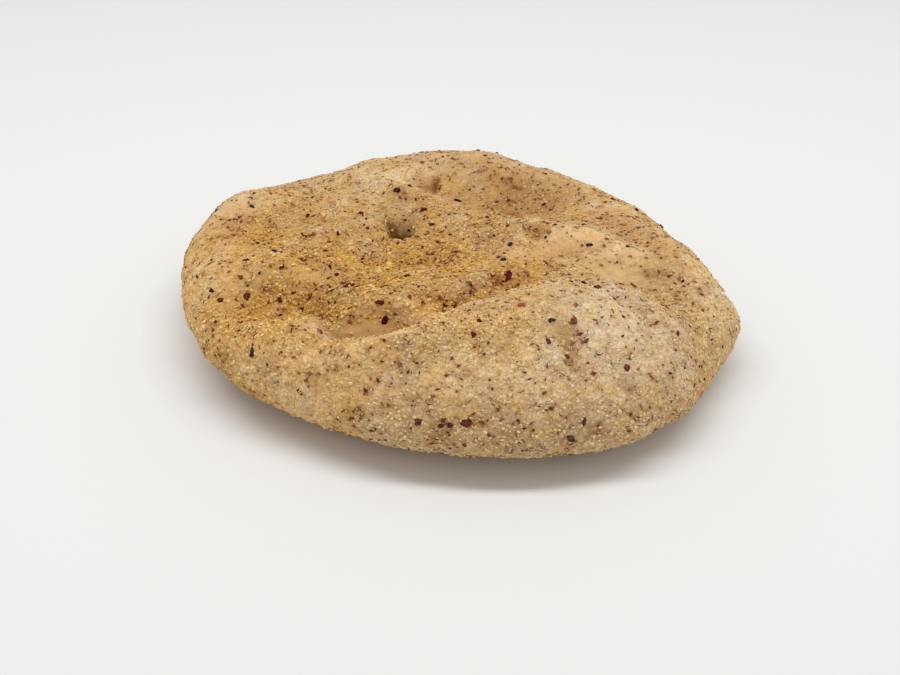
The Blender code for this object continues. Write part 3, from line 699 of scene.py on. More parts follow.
class Surface:
    """The finished crust as arrays, to lay things on."""

    def __init__(self):
        if CRUST not in bpy.data.objects:
            raise RuntimeError("make the crust first")
        self.data = bpy.data.objects[CRUST].data
        self.data.calc_loop_triangles()
        self.points = read_array(self.data.vertices, "co", 3)
        self.normals = read_array(self.data.vertex_normals, "vector", 3)
        self.crevice_shade = self.attribute("crevice_shade")
        self.finishes = {name: self.attribute(name) for name in CARRIED}
        self.triangles = read_array(self.data.loop_triangles, "vertices", 3, np.int32)
        corners = self.points[self.triangles]
        self.middles = corners.mean(axis=1)
        sides = corners[:, 1:] - corners[:, :1]
        self.areas = np.linalg.norm(np.cross(sides[:, 0], sides[:, 1]), axis=-1) / 2

    def attribute(self, name):
        """What each point of the crust holds under a name."""
        return read_array(self.data.attributes[name].data, "value")

    def density(self, kind):
        """How thickly each triangle carries a kind: by finish, and gathered in clumps."""
        weight = np.full(len(self.middles), kind.gains["base"])
        for zone in ZONES:
            if zone in kind.gains:
                weight += kind.gains[zone] * zone_strength(zone, self.middles)
        strength, growth = COARSE_CLUMPS
        clump = cloud(self.middles, kind.clump) + strength * cloud(self.middles, growth * kind.clump)
        weight = np.maximum(weight, LEAST_DENSITY) * np.exp(kind.clumping * clump)
        height = self.middles[:, 2]
        return weight * np.clip((height - BARE_BELOW) / (COVERED_ABOVE - BARE_BELOW), 0, 1)

    def strew(self, kind, count, rng):
        """Places where a kind gathers, with the crust's direction and its painted crevice shade, and
        lengths.
        """
        share = np.cumsum(self.areas * self.density(kind))
        steps = (np.arange(count) + rng.random(count)) / count
        chosen = self.triangles[np.searchsorted(share, steps * share[-1])]
        blend = rng.dirichlet((1, 1, 1), count)
        places = (self.points[chosen] * blend[..., None]).sum(axis=1)
        normals = (self.normals[chosen] * blend[..., None]).sum(axis=1)
        crevice_shade = (self.crevice_shade[chosen] * blend).sum(axis=1)
        lengths = kind.shortest + (kind.longest - kind.shortest) * rng.random(count) ** kind.bias
        return places, unit(normals), crevice_shade, lengths

    def drop(self, spots):
        """Places on the crust right below spots in the plan, with its direction at each."""
        tree = BVHTree.FromPolygons(self.points.tolist(), self.triangles.tolist())
        x, y = spots.T
        angle = np.arctan2(y, x)
        height = top_height(np.minimum(np.hypot(x, y) / outline_radius(angle), 1), angle)
        hits = [tree.find_nearest(Vector(spot)) for spot in zip(x, y, height)]
        return np.array([hit[0] for hit in hits]), np.array([hit[1] for hit in hits])

    def stain(self, places, lengths):
        """Browns the skin round each piece of bran."""
        tree = point_tree(self.points)
        stain = self.attribute("stained")
        for place, length in zip(places, lengths):
            reach = STAIN_REACH + length / 2
            for point, number, distance in tree.find_range(place, 2 * reach):
                stain[number] += STAIN_STRENGTH * math.exp(-((distance / reach) ** 2))
        write_attribute(self.data, "stained", np.minimum(stain, STAIN_LIMIT))

    def lay(self, name, shapes, faces, places, axes, material, tints):
        """Many like shapes as one piece, each at its place. A tint shades each one by itself."""
        count, corners = shapes.shape[:2]
        points = np.einsum("nvk,nkj->nvj", shapes, axes) + places[:, None]
        numbers = (faces + corners * np.arange(count)[:, None, None]).reshape(-1, 3)
        data = make_piece(name, points.reshape(-1, 3), numbers, material).data
        tree = point_tree(self.points)
        nearest = [tree.find(place)[1] for place in places]
        held = {finish: values[nearest] for finish, values in self.finishes.items()}
        for attribute, values in {"tint": tints, **held}.items():
            write_attribute(data, attribute, np.repeat(values, corners))
        across = math.ceil(math.sqrt(count))
        cell = np.stack((np.arange(count) % across, np.arange(count) // across), axis=-1)
        reach = abs(shapes[..., :2]).max(axis=(1, 2), keepdims=True)
        flat = (cell[:, None] + 0.5 + CELL_REACH * shapes[..., :2] / reach) / across
        write_map(data, flat.reshape(-1, 2)[numbers])


# ------------------------------------------------------------------ materials


def linear(hex_colour):
    """Linear red, green and blue of an sRGB hex colour."""
    channels = (int(hex_colour[start : start + 2], 16) / 255 for start in (1, 3, 5))
    return tuple(c / 12.92 if c <= 0.04045 else ((c + 0.055) / 1.055) ** 2.4 for c in channels)


def add_node(tree, kind, sockets, **settings):
    """Adds a node with its settings. Each socket gets a value, or a link from another's output."""
    made = tree.nodes.new(kind)
    for name, value in settings.items():
        setattr(made, name, value)
    for socket, value in sockets.items():
        if isinstance(value, bpy.types.NodeSocket):
            tree.links.new(value, made.inputs[socket])
        else:
            made.inputs[socket].default_value = value
    return made.outputs


def new_material(name):
    """An empty material and its node tree."""
    material = bpy.data.materials.new(name)
    material.use_nodes = True
    material.node_tree.nodes.clear()
    return material, material.node_tree


def finish_material(tree, sockets):
    """Ends a material in one Principled shader with these sockets."""
    shader = add_node(tree, "ShaderNodeBsdfPrincipled", sockets)
    add_node(tree, "ShaderNodeOutputMaterial", {"Surface": shader["BSDF"]})


def opaque(colour):
    """A colour with full alpha, as node sockets take it."""
    return (*colour, 1.0)


def held_at(tree, name):
    """What the mesh holds under a name at each place."""
    return add_node(tree, "ShaderNodeAttribute", {}, attribute_name=name)["Fac"]


def noise_at(tree, place, size, detail, roughness=0.5):
    """A cloudy pattern with patches of this size."""
    sockets = {"Vector": place, "Scale": 1 / size, "Detail": detail, "Roughness": roughness}
    return add_node(tree, "ShaderNodeTexNoise", sockets)["Fac"]


def remap(tree, value, low, high, start=0.0, end=1.0):
    """Stretches a value from low..high to start..end, and stops there."""
    sockets = {"Value": value, "From Min": low, "From Max": high, "To Min": start, "To Max": end}
    return add_node(tree, "ShaderNodeMapRange", sockets)["Result"]


def times(tree, first, second):
    """The product of two values."""
    return add_node(tree, "ShaderNodeMath", {0: first, 1: second}, operation="MULTIPLY")[0]


def painted(tree, cover, under, over, blend="MIX"):
    """One colour laid over another as far as it covers."""
    sockets = {MIX_FACTOR: cover, MIX_A: under, MIX_B: over}
    return add_node(tree, "ShaderNodeMix", sockets, data_type="RGBA", blend_type=blend)[MIX_RESULT]


def bumped(tree, height, strength, depth, normal=None):
    """Direction of a skin that a pattern pushes in and out, over bumps that it has already."""
    sockets = {"Height": height, "Strength": strength, "Distance": depth}
    if normal:
        sockets["Normal"] = normal
    return add_node(tree, "ShaderNodeBump", sockets)["Normal"]


def baked_dough(settings):
    """Baked wheat dough, dry and a little translucent. The eye sees light tan skin, mottled where it
    browned, yellow where maize stained it, gritty with meal pressed into it, whitened where flour stuck and
    smooth where it is bare. Painted shade darkens it in creases, hollows, the gaps of the fine meal, the
    bottoms of the pits, inside the front lip and along the back rim, and painted light brightens its rims
    and front."""
    material, tree = new_material("baked wheat dough")
    place = add_node(tree, "ShaderNodeTexCoord", {})["Object"]
    maps = {zone: held_at(tree, zone) for zone in (*ZONES, "under", "crevice_shade", "stained")}
    for pattern, look in PATTERNS.items():
        maps[pattern] = noise_at(tree, place, *look)
    grit = add_node(tree, "ShaderNodeTexVoronoi", {"Vector": place, "Scale": 1 / GRIT_SIZE})
    maps["shade"] = add_node(tree, "ShaderNodeSeparateColor", {"Color": grit["Color"]})["Red"]
    off_bare = remap(tree, maps["bare"], 0.0, 1.0, 1.0, 0.0)
    maps["meal"] = times(tree, off_bare, remap(tree, maps["smooth"], 0.0, 1.0, 1.0, GRIT_ON_SMOOTH))
    drawn_out = add_node(tree, "ShaderNodeMapping", {
        "Vector": place,
        "Rotation": (0, 0, math.radians(-TEAR_HEADING)),
        "Scale": (1 / FIBRE_LENGTH, 1 / FIBRE_WIDTH, 1 / FIBRE_WIDTH),
    })
    maps["fibres"] = noise_at(tree, drawn_out["Vector"], 1.0, *FIBRE_DETAIL)
    crags = {"Vector": place, "Scale": 1 / CRAG_SIZE, **CRAGS}
    maps["crags"] = add_node(tree, "ShaderNodeTexNoise", crags, noise_type="RIDGED_MULTIFRACTAL")["Fac"]

    mottled = remap(tree, maps["mottling"], *TAN_MOTTLES)
    colour = painted(tree, mottled, opaque(settings.deep_tan), opaque(settings.tan))
    for where, pattern, begins, full, least, most, hue in LAYERS:
        cover = remap(tree, maps[pattern], begins, full, least, most)
        if where:
            cover = times(tree, maps[where], cover)
        colour = painted(tree, cover, colour, opaque(getattr(settings, hue)))
    parts = {part: remap(tree, maps["shade"], 0.0, 1.0, *GRIT_SHADES) for part in ("Red", "Green", "Blue")}
    shaded = add_node(tree, "ShaderNodeCombineColor", parts)["Color"]
    colour = painted(tree, maps["meal"], colour, shaded, "MULTIPLY")
    # Painted shade in the gaps between the fine grains pressed into the skin.
    gaps = times(tree, remap(tree, grit["Distance"], *GRIT_GAPS), maps["meal"])
    colour = painted(tree, gaps, colour, opaque(settings.gap))

    normal = None
    for pattern, where, strength, depth in BUMPS:
        height = times(tree, maps[pattern], maps[where]) if where else maps[pattern]
        normal = bumped(tree, height, strength, depth, normal)
    rough = remap(tree, maps["bare"], 0.0, 1.0, ROUGHNESS_MEALY, ROUGHNESS_BARE)
    finish_material(tree, {"Base Color": colour, "Roughness": rough, "Normal": normal, **DOUGH})
    return material


def shade_ramp(tree, tint, shades):
    """A colour between the shades, the first at 0 and the last at 1."""
    colour = add_node(tree, "ShaderNodeValToRGB", {"Fac": tint})["Color"]
    steps = colour.node.color_ramp.elements
    while len(steps) < len(shades):
        steps.new(0.5)
    for number, shade in enumerate(shades):
        steps[number].position = number / (len(shades) - 1)
        steps[number].color = opaque(shade)
    return colour


def dry_grain(name, shades, flour, look, yellow_shades=None, stain=None):
    """Broken cereal: meal, bran or husk. The eye sees small matt facets of several shades, each
    piece its own. Meal takes the yellow of maize dust and the brown of bran from the skin round
    it, and flour dulls what it lies on."""
    material, tree = new_material(name)
    place = add_node(tree, "ShaderNodeTexCoord", {})["Object"]
    tint, golden, floured, stained, light = (held_at(tree, part) for part in ("tint", *CARRIED))
    fleck = noise_at(tree, place, look.fleck, FLECK_DETAIL)
    colour = shade_ramp(tree, tint, shades)
    if yellow_shades:
        yellowness = remap(tree, golden, 0.0, 1.0, look.yellow, look.yellow + MAIZE_DUST)
        colour = painted(tree, yellowness, colour, shade_ramp(tree, tint, yellow_shades))
    if stain:
        colour = painted(tree, times(tree, stained, look.stain), colour, opaque(stain))
    flecked = remap(tree, fleck, *FLECKS, 1 - look.flecked, 1 + look.flecked)
    # Lighter on light skin: partly paler colour, partly painted light.
    lightness = times(tree, flecked, remap(tree, light, 0.0, 1.0, 1.0, look.light))
    colour = painted(tree, 1.0, colour, lightness, "MULTIPLY")
    dusted = times(tree, floured, remap(tree, fleck, *FLECKS, 0.0, look.dusting))
    colour = painted(tree, dusted, colour, opaque(flour))
    finish_material(tree, {
        "Base Color": colour, "Roughness": look.roughness, "Specular IOR Level": look.gloss,
        "Subsurface Weight": look.glow, "Normal": bumped(tree, fleck, *GRAIN_BUMP), **GRAIN,
    })
    return material


# ------------------------------------------------------------------ settings


def colour_setting(name, description, hex_colour):
    """A colour that the user can change, given as sRGB hex."""
    return FloatVectorProperty(
        name=name, description=description, default=linear(hex_colour), subtype="COLOR", size=3, min=0, max=1
    )


def count_setting(name, description, default, least=0):
    """A number of things."""
    return IntProperty(name=name, description=description, default=default, min=least)


def length_setting(name, description, default):
    """A length in metres."""
    return FloatProperty(
        name=name, description=description, default=default, subtype="DISTANCE", unit="LENGTH"
    )


class CrustSettings(bpy.types.PropertyGroup):
    """Sizes and colours of the crust."""

    cells: count_setting("Cells", "Cells across the crust's grid", 216, 40)
    tan: colour_setting("Tan", "Baked skin where it is lightest", "#E8BF86")
    deep_tan: colour_setting("Deep tan", "Baked skin between the light mottles", "#D0A264")
    # Paler skin, also laid as painted light on the rims, the front and the floor of the front dimple.
    light: colour_setting("Light", "Pale golden skin of the rims", "#FED492")
    amber: colour_setting("Amber", "Warmer skin of the left rim", "#F8C682")
    brown: colour_setting("Brown", "Skin that browned more", "#C4965C")
    golden: colour_setting("Golden", "Skin stained by maize meal", "#CA8E2C")
    yellowed: colour_setting("Yellowed", "Yellow stains", "#E2B44E")
    # Toasted reddish brown, also laid as painted shade in hollows and inside the front lip.
    toasted_and_shaded: colour_setting("Toasted", "Skin toasted reddish brown", "#A27444")
    bare: colour_setting("Bare", "Smooth skin with no meal", "#DAB67E")
    # Painted shade at the bottoms of the pits and cracks.
    pit_shade: colour_setting("Deep", "Bottoms of the pits", "#6E4622")
    flour: colour_setting("Flour", "Flour stuck to the skin", "#F0DABC")
    # Partly fine flour, partly painted shade along the back rim.
    dulled_and_shaded: colour_setting("Dulled", "Skin dulled by fine flour along the back", "#BEA47E")
    # Painted shade, laid in the gaps between fine meal and in the creases and hollows.
    gap: colour_setting("Gap", "Shaded gaps between fine meal", "#8C582A")


class MealSettings(bpy.types.PropertyGroup):
    """Amounts and colours of the meal."""

    pale_count: count_setting("Pale grains", "Grains of pale meal", 12500)
    golden_count: count_setting("Golden grains", "Grains of golden meal", 12000)
    smallest: length_setting("Smallest", "Length of the smallest grain", PALE_MEAL.shortest)
    largest: length_setting("Largest", "Length of the largest grain", PALE_MEAL.longest)
    pale_dark: colour_setting("Pale, dark", "Darkest pale grain", "#C49860")
    pale: colour_setting("Pale", "Usual pale grain", "#E2BC8A")
    pale_light: colour_setting("Pale, light", "Lightest pale grain", "#F6D8A8")
    golden_dark: colour_setting("Golden, dark", "Darkest golden grain", "#BC8430")
    golden: colour_setting("Golden", "Usual golden grain", "#DEA84C")
    golden_light: colour_setting("Golden, light", "Lightest golden grain", "#F4CA6C")


class BranSettings(bpy.types.PropertyGroup):
    """Amounts and colours of the bran."""

    speck_count: count_setting("Specks", "Small dark specks", 5400)
    thread_count: count_setting("Threads", "Short bent threads", 800)
    dark: colour_setting("Dark", "Darkest bran", "#501C14")
    brown: colour_setting("Brown", "Brown bran", "#763624")
    light: colour_setting("Light", "Lightest bran", "#96603C")


class HuskSettings(bpy.types.PropertyGroup):
    """Colours of the husk flakes."""

    purple: colour_setting("Purple", "Near-black purple husk", "#382026")
    red: colour_setting("Red", "Dark red husk", "#4C1614")
    rust: colour_setting("Rust", "Rust-coloured husk", "#7A3C1A")


class BitSettings(bpy.types.PropertyGroup):
    """Amounts and colours of the bright bits and flour crumbs."""

    bit_count: count_setting("Bits", "Bright bits of maize", 70)
    fibre_count: count_setting("Fibres", "Torn threads of crumb", 420)
    crumb_count: count_setting("Crumbs", "Soft crumbs of flour", 420)
    yellow: colour_setting("Yellow", "Yellow maize", "#E2BC5C")
    orange: colour_setting("Orange", "Orange maize", "#C08436")
    flour: colour_setting("Flour", "Flour crumbs", "#F0DCB8")
    clean_flour: colour_setting("Clean flour", "Lumps of flour with no dust on them", "#FBF2E6")


class StageSettings(bpy.types.PropertyGroup):
    """The floor, the light and the camera."""

    elevation: FloatProperty(
        name="Elevation", description="How far the camera looks down",
        default=math.radians(35), subtype="ANGLE", unit="ROTATION",
    )
    distance: length_setting("Distance", "From the camera to what it looks at", 0.209)
    lens: FloatProperty(name="Lens", description="Focal length in millimetres", default=42.0)
    light_power: FloatProperty(
        name="Light", description="Power of the soft light", default=2.6, subtype="POWER", unit="POWER"
    )
    floor: colour_setting("Floor", "Plain pale floor", "#E9E9E7")


# ------------------------------------------------------------------ pieces


def crust_piece(settings):
    """The loaf's skin, in the solid's form but finer."""
    half = settings.cells // 2
    side = 2 * half + 1
    top = sheet_points(half, top_height)
    under = sheet_points(half, under_height)
    top_numbers = np.arange(side * side).reshape(side, side)
    inside = np.zeros((side, side), bool)
    inside[1:-1, 1:-1] = True
    under_numbers = top_numbers.copy()
    under_numbers[inside] = side * side + np.arange(inside.sum())
    points = np.concatenate((top.reshape(-1, 3), under[inside]))
    quads = np.concatenate((grid_quads(top_numbers), grid_quads(under_numbers)[:, ::-1]))
    piece = make_piece(CRUST, points, quads, baked_dough(settings))
    roughen(piece.data)
    points = read_array(piece.data.vertices, "co", 3)
    for zone in ZONES:
        write_attribute(piece.data, zone, finish_strength(zone, points))
    write_attribute(piece.data, "under", np.clip(1 - points[:, 2] / UNDER_SHADE_HEIGHT, 0, 1))
    write_attribute(piece.data, "stained", np.zeros(len(points)))
    spots = np.stack(np.meshgrid(*[np.linspace(0, 1, side)] * 2, indexing="ij"), axis=-1).reshape(-1, 2)
    top_map = spots[grid_quads(top_numbers)] * TOP_MAP_SHARE
    under_map = 1 - spots[grid_quads(top_numbers)][:, ::-1] * (1 - TOP_MAP_SHARE - MAP_GAP)
    write_map(piece.data, np.concatenate((top_map, under_map)))
    piece.data.shade_smooth()
    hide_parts(NODE)


def wrinkles(points, sway):
    """Height that the drawn skin's wrinkles add and take away."""
    x, y, z = points.T
    rise = 0.0
    for *oval, height, heading, spacing in WRINKLES:
        across = y * math.cos(math.radians(heading)) - x * math.sin(math.radians(heading))
        wave = np.cos(FULL_TURN * across / (MM * spacing) + WRINKLE_SWAY * sway)
        rise = rise + height * wave * np.exp(-(oval_distance(points, *oval) ** ZONE_STEEPNESS))
    return MM * rise


def roughen(data):
    """Pushes the skin in and out by its lumps, leaving the foot flat, and keeps how much shade to paint in
    its creases and hollows.
    """
    points = read_array(data.vertices, "co", 3)
    normals = read_array(data.vertex_normals, "vector", 3)
    rises = [height * cloud(points, size, shift) for size, height, shift in LUMPS]
    lines = cloud(points, CREASE_SIZE, CREASE_SHIFT)
    patchy = cloud(points, LUMPS[0][0], -CREASE_SHIFT)
    usual, uneven = CREASE_COVER
    crease = np.exp(-((lines / CREASE_WIDTH) ** 2)) * np.clip(usual + uneven * patchy, 0, 1)
    clear = np.clip(points[:, 2] / GIRTH_HEIGHT, 0, 1)
    rise = sum(rises) + wrinkles(points, patchy) - CREASE_DEPTH * crease
    points += normals * (rise * clear)[:, None]
    data.vertices.foreach_set("co", points.ravel())
    data.update()
    # How much shade to paint in the creases and the hollows between lumps.
    hollow = np.clip(-sum(rises[1:]) / HOLLOW_DEPTH, 0, 1)
    write_attribute(data, "crevice_shade", np.clip(CREASE_SHADE * crease + HOLLOW_SHADE * hollow, 0, 1) * clear)


def drawn(ends, count, rng):
    """A number for each, drawn between two ends, or the same one for all."""
    return rng.uniform(*ends, count) if isinstance(ends, tuple) else ends


def grains(kind, normals, lengths, rng):
    """Irregular eight-sided grains, their axes, each tilted a little on the crust, and heights."""
    count = len(lengths)
    widths = lengths * drawn(kind.widths, count, rng)
    heights = kind.flat + lengths * drawn(kind.heights, count, rng)
    ragged = rng.uniform(*kind.ragged, (count, len(OCTAHEDRON), 1))
    shapes = OCTAHEDRON * np.stack((lengths, widths, heights), axis=-1)[:, None] / 2 * ragged
    slanted = normals + rng.normal(0, kind.tilt, (count, 3))
    return shapes, axes_on(slanted, rng.uniform(0, FULL_TURN, count)), heights


def meal_piece(name, surface, kind, count, material, seed):
    """Grains of one kind of meal over the crust, half sunk in it."""
    rng = np.random.default_rng(seed)
    places, normals, crevice_shade, lengths = surface.strew(kind, count, rng)
    smooth = zone_strength("smooth", places)
    lengths *= 1 - MEAL_SHRINKS * smooth + MEAL_GROWS * zone_strength("golden", places)
    shapes, axes, heights = grains(kind, normals, lengths, rng)
    places += normals * (heights * rng.uniform(*MEAL_RAISED, count))[:, None]
    # Painted shade: grains in creases and hollows take darker tints.
    shade = MEAL_IN_CREVICE_SHADE * crevice_shade + MEAL_ON_SMOOTH_SHADE * smooth
    tints = np.clip(rng.random(count) - shade, 0, 1)
    surface.lay(name, shapes, OCTAHEDRON_FACES, places, axes, material, tints)


def lay_bran(name, surface, shapes, faces, places, axes, material, rng):
    """Pieces of bran, each of its own shade, paler where it sank into smooth dough."""
    tints = rng.random(len(places)) + BRAN_PALENESS * zone_strength("smooth", places)
    surface.lay(name, shapes, faces, places, axes, material, np.clip(tints, 0, 1))


def speck_piece(surface, count, material):
    """Small dark chips of bran."""
    rng = np.random.default_rng(SPECK_SEED)
    places, normals, _, lengths = surface.strew(SPECK, count, rng)
    toasted_and_shaded = SPECK_GATHERS_IN_TOASTED * zone_strength("toasted_and_shaded", places)
    lengths *= 1 + SPECK_GROWS * np.maximum(zone_strength("golden", places), toasted_and_shaded)
    shapes, axes, _ = grains(SPECK, normals, lengths, rng)
    places += normals * SPECK_RAISED * (1 - SPECK_SINKS * zone_strength("smooth", places))[:, None]
    lay_bran("bran_specks", surface, shapes, OCTAHEDRON_FACES, places, axes, material, rng)
    surface.stain(places, lengths)


def thread_faces():
    """Faces of a thin three-sided thread that ends in points."""
    starts = range(1, 1 + (THREAD_STATIONS - 2) * THREAD_SIDES, THREAD_SIDES)
    rings = [range(start, start + THREAD_SIDES) for start in starts]
    last = rings[-1][-1] + 1
    faces = []
    for side in range(THREAD_SIDES):
        after = (side + 1) % THREAD_SIDES
        faces.append((0, rings[0][after], rings[0][side]))
        faces.append((last, rings[-1][side], rings[-1][after]))
        for near, far in zip(rings, rings[1:]):
            faces.append((near[side], near[after], far[after]))
            faces.append((near[side], far[after], far[side]))
    return np.array(faces)


def threads(kind, lengths, rng):
    """Thin bent threads, lying along an arc."""
    count = len(lengths)
    along = np.linspace(-0.5, 0.5, THREAD_STATIONS)
    x = lengths[:, None] * along
    y = lengths[:, None] * rng.uniform(*kind.widths, count)[:, None] * (0.25 - along**2)
    turns = FULL_TURN * np.arange(THREAD_SIDES) / THREAD_SIDES + math.pi / 2
    girth = rng.uniform(*kind.heights, count)[:, None] * np.sqrt(1 - (2 * along[1:-1]) ** 2)
    ring_y = y[:, 1:-1, None] + girth[..., None] * np.cos(turns)
    ring_z = girth[..., None] * np.sin(turns)
    ring_x = np.broadcast_to(x[:, 1:-1, None], ring_y.shape)
    rings = np.stack((ring_x, ring_y, ring_z), axis=-1).reshape(count, -1, 3)
    ends = [np.stack((x[:, end], y[:, end], 0 * x[:, end]), axis=-1)[:, None] for end in (0, -1)]
    return np.concatenate((ends[0], rings, ends[1]), axis=1)


def thread_piece(surface, count, material):
    """Short dark threads of bran, bent along the crust."""
    rng = np.random.default_rng(THREAD_SEED)
    places, normals, _, lengths = surface.strew(THREAD, count, rng)
    shapes = threads(THREAD, lengths, rng)
    axes = axes_on(normals, rng.uniform(0, FULL_TURN, count))
    places += normals * THREAD_RAISED
    lay_bran("bran_threads", surface, shapes, thread_faces(), places, axes, material, rng)
    surface.stain(places, np.zeros(count))


def fibre_piece(surface, count, hue):
    """Pale threads of crumb where the skin tore."""
    rng = np.random.default_rng(FIBRE_SEED)
    places, normals, _, lengths = surface.strew(FIBRE, count, rng)
    shapes = threads(FIBRE, lengths, rng)
    axes = axes_on(normals, math.radians(TEAR_HEADING) + rng.normal(0, FIBRE_STRAY, count))
    places += normals * FIBRE_RAISED
    material = dry_grain("torn crumb", (hue, hue), hue, CRUMB_LOOK)
    surface.lay("crumb_fibres", shapes, thread_faces(), places, axes, material, rng.random(count))


def bit_piece(surface, count, material, rng):
    """Bright bits of maize: the ones that stand out, then scattered ones."""
    named = np.array(BRIGHT_BITS)
    spots, directions = surface.drop(MM * named[:, :2])
    places, normals, _, lengths = surface.strew(BIT, count, rng)
    places = np.concatenate((spots, places))
    normals = np.concatenate((directions, normals))
    lengths = np.concatenate((MM * named[:, 2], lengths))
    tints = np.concatenate((named[:, 3], rng.random(count) ** BIT_TINT_BIAS))
    shapes, axes, _ = grains(BIT, normals, lengths, rng)
    places += normals * lengths[:, None] * BIT_RAISED
    surface.lay("maize_bits", shapes, OCTAHEDRON_FACES, places, axes, material, tints)


def crumb_piece(name, surface, places, normals, lengths, raised, material, rng):
    """Soft crumbs of flour."""
    shapes, axes, _ = grains(CRUMB, normals, lengths, rng)
    places = places + normals * lengths[:, None] * raised
    surface.lay(name, shapes, OCTAHEDRON_FACES, places, axes, material, rng.random(len(lengths)))


def all_flakes():
    """The large flakes, then the scattered smaller ones: x, y, length, width, turn, kind."""
    rng = random.Random(FLAKE_SEED)
    flakes = [(*(MM * size for size in flake[:4]), flake[4]) for flake in LARGE_FLAKES]
    shortest, longest = FLAKE_LENGTHS
    while len(flakes) < FLAKE_COUNT:
        angle = rng.uniform(0, FULL_TURN)
        radius = FLAKE_EDGE_SHARE * math.sqrt(rng.random()) * float(outline_radius(np.array(angle)))
        x = radius * math.cos(angle)
        y = radius * math.sin(angle)
        length = shortest + (longest - shortest) * rng.random() ** FLAKE_LENGTH_BIAS
        flake = (x, y, length, length * rng.uniform(*FLAKE_WIDTH_SHARES), rng.uniform(0, 360))
        clear = all(
            math.hypot(x - other[0], y - other[1]) > (length + other[2]) / 2 + FLAKE_GAP
            for other in flakes
        )
        if clear:
            flakes.append(flake)
    kinds = [flake[5] for flake in LARGE_FLAKES]
    kinds += rng.choices(list(KIND_SHARES), KIND_SHARES.values(), k=FLAKE_COUNT - len(kinds))
    return flakes, kinds


def flake_faces():
    """Faces of a flake: fans over its middle and under it, and a sloping rim."""
    top, under = 0, 1
    inner = range(2, 2 + FLAKE_POINTS)
    outer = range(2 + FLAKE_POINTS, 2 + 2 * FLAKE_POINTS)
    faces = []
    for point in range(FLAKE_POINTS):
        after = (point + 1) % FLAKE_POINTS
        faces.append((top, inner[point], inner[after]))
        faces.append((inner[point], outer[point], outer[after]))
        faces.append((inner[point], outer[after], inner[after]))
        faces.append((under, outer[after], outer[point]))
    return np.array(faces)


def flake_shapes(lengths, widths, rng):
    """Thin ragged flakes, a little curled along their length."""
    count = len(lengths)
    turns = FULL_TURN * np.arange(FLAKE_POINTS) / FLAKE_POINTS
    reach = rng.uniform(*FLAKE_RAGGEDNESS, (count, FLAKE_POINTS))
    rim_x = reach * lengths[:, None] / 2 * np.cos(turns)
    rim_y = reach * widths[:, None] / 2 * np.sin(turns)
    curl = rng.uniform(*FLAKE_CURL, (count, 1)) * np.cos(turns) ** 2
    outer = np.stack((rim_x, rim_y, curl), axis=-1)
    lift = FLAKE_PROUD * rng.uniform(*FLAKE_LIFT, (count, FLAKE_POINTS))
    inner = np.stack((rim_x * FLAKE_INNER_SHARE, rim_y * FLAKE_INNER_SHARE, curl / 2 + lift), axis=-1)
    middles = np.zeros((count, 2, 3))
    middles[:, :, 2] = FLAKE_PROUD, -FLAKE_SUNK
    return np.concatenate((middles, inner, outer), axis=1)


# ------------------------------------------------------------------ operators


class FOCACCIA_OT_crust(bpy.types.Operator):
    """Make the loaf's crust in place of the plain solid"""

    bl_idname = "focaccia.crust"
    bl_label = "Crust"

    def execute(self, context):
        crust_piece(context.scene.focaccia_crust)
        return {"FINISHED"}


class FOCACCIA_OT_meal(bpy.types.Operator):
    """Sprinkle pale and golden meal over the crust"""

    bl_idname = "focaccia.meal"
    bl_label = "Meal"

    def execute(self, context):
        settings = context.scene.focaccia_meal
        crust = context.scene.focaccia_crust
        surface = Surface()
        pale = (settings.pale_dark, settings.pale, settings.pale, settings.pale_light)
        golden = (settings.golden_dark, settings.golden, settings.golden, settings.golden_light)
        durum = dry_grain("durum meal", pale, crust.flour, MEAL_LOOK, golden, crust.toasted_and_shaded)
        maize = dry_grain("maize meal", pale, crust.flour, MAIZE_LOOK, golden, crust.toasted_and_shaded)
        sizes = {"shortest": settings.smallest, "longest": settings.largest}
        for name, kind, count, material, seed in (
            ("meal_grains_pale", PALE_MEAL, settings.pale_count, durum, PALE_SEED),
            ("meal_grains_golden", GOLDEN_MEAL, settings.golden_count, maize, GOLDEN_SEED),
        ):
            meal_piece(name, surface, kind._replace(**sizes), count, material, seed)
        return {"FINISHED"}


class FOCACCIA_OT_bran(bpy.types.Operator):
    """Sprinkle dark bran specks and threads over the crust"""

    bl_idname = "focaccia.bran"
    bl_label = "Bran"

    def execute(self, context):
        settings = context.scene.focaccia_bran
        surface = Surface()
        shades = (settings.dark, settings.brown, settings.light)
        material = dry_grain("wheat bran", shades, context.scene.focaccia_crust.flour, BRAN_LOOK)
        speck_piece(surface, settings.speck_count, material)
        thread_piece(surface, settings.thread_count, material)
        return {"FINISHED"}


class FOCACCIA_OT_husk(bpy.types.Operator):
    """Lay the large husk flakes where they show, and scatter the smaller ones"""

    bl_idname = "focaccia.husk"
    bl_label = "Husk flakes"

    def execute(self, context):
        surface = Surface()
        flakes, kinds = all_flakes()
        for seed, kind in enumerate(KIND_SHARES, start=FIRST_HUSK_SEED):
            rng = np.random.default_rng(seed)
            own = np.array([flake for flake, its_kind in zip(flakes, kinds) if its_kind == kind])
            places, normals = surface.drop(own[:, :2])
            shapes = flake_shapes(own[:, 2], own[:, 3], rng)
            axes = axes_on(normals, np.radians(own[:, 4]))
            hue = np.array(getattr(context.scene.focaccia_husk, kind))
            shades = [tuple(np.clip(hue * shade, 0, 1)) for shade in HUSK_SHADES]
            material = dry_grain(f"dry {kind} husk", shades, context.scene.focaccia_crust.flour, HUSK_LOOK)
            name = f"husk_flakes_{kind}"
            surface.lay(name, shapes, flake_faces(), places, axes, material, rng.random(len(own)))
        return {"FINISHED"}


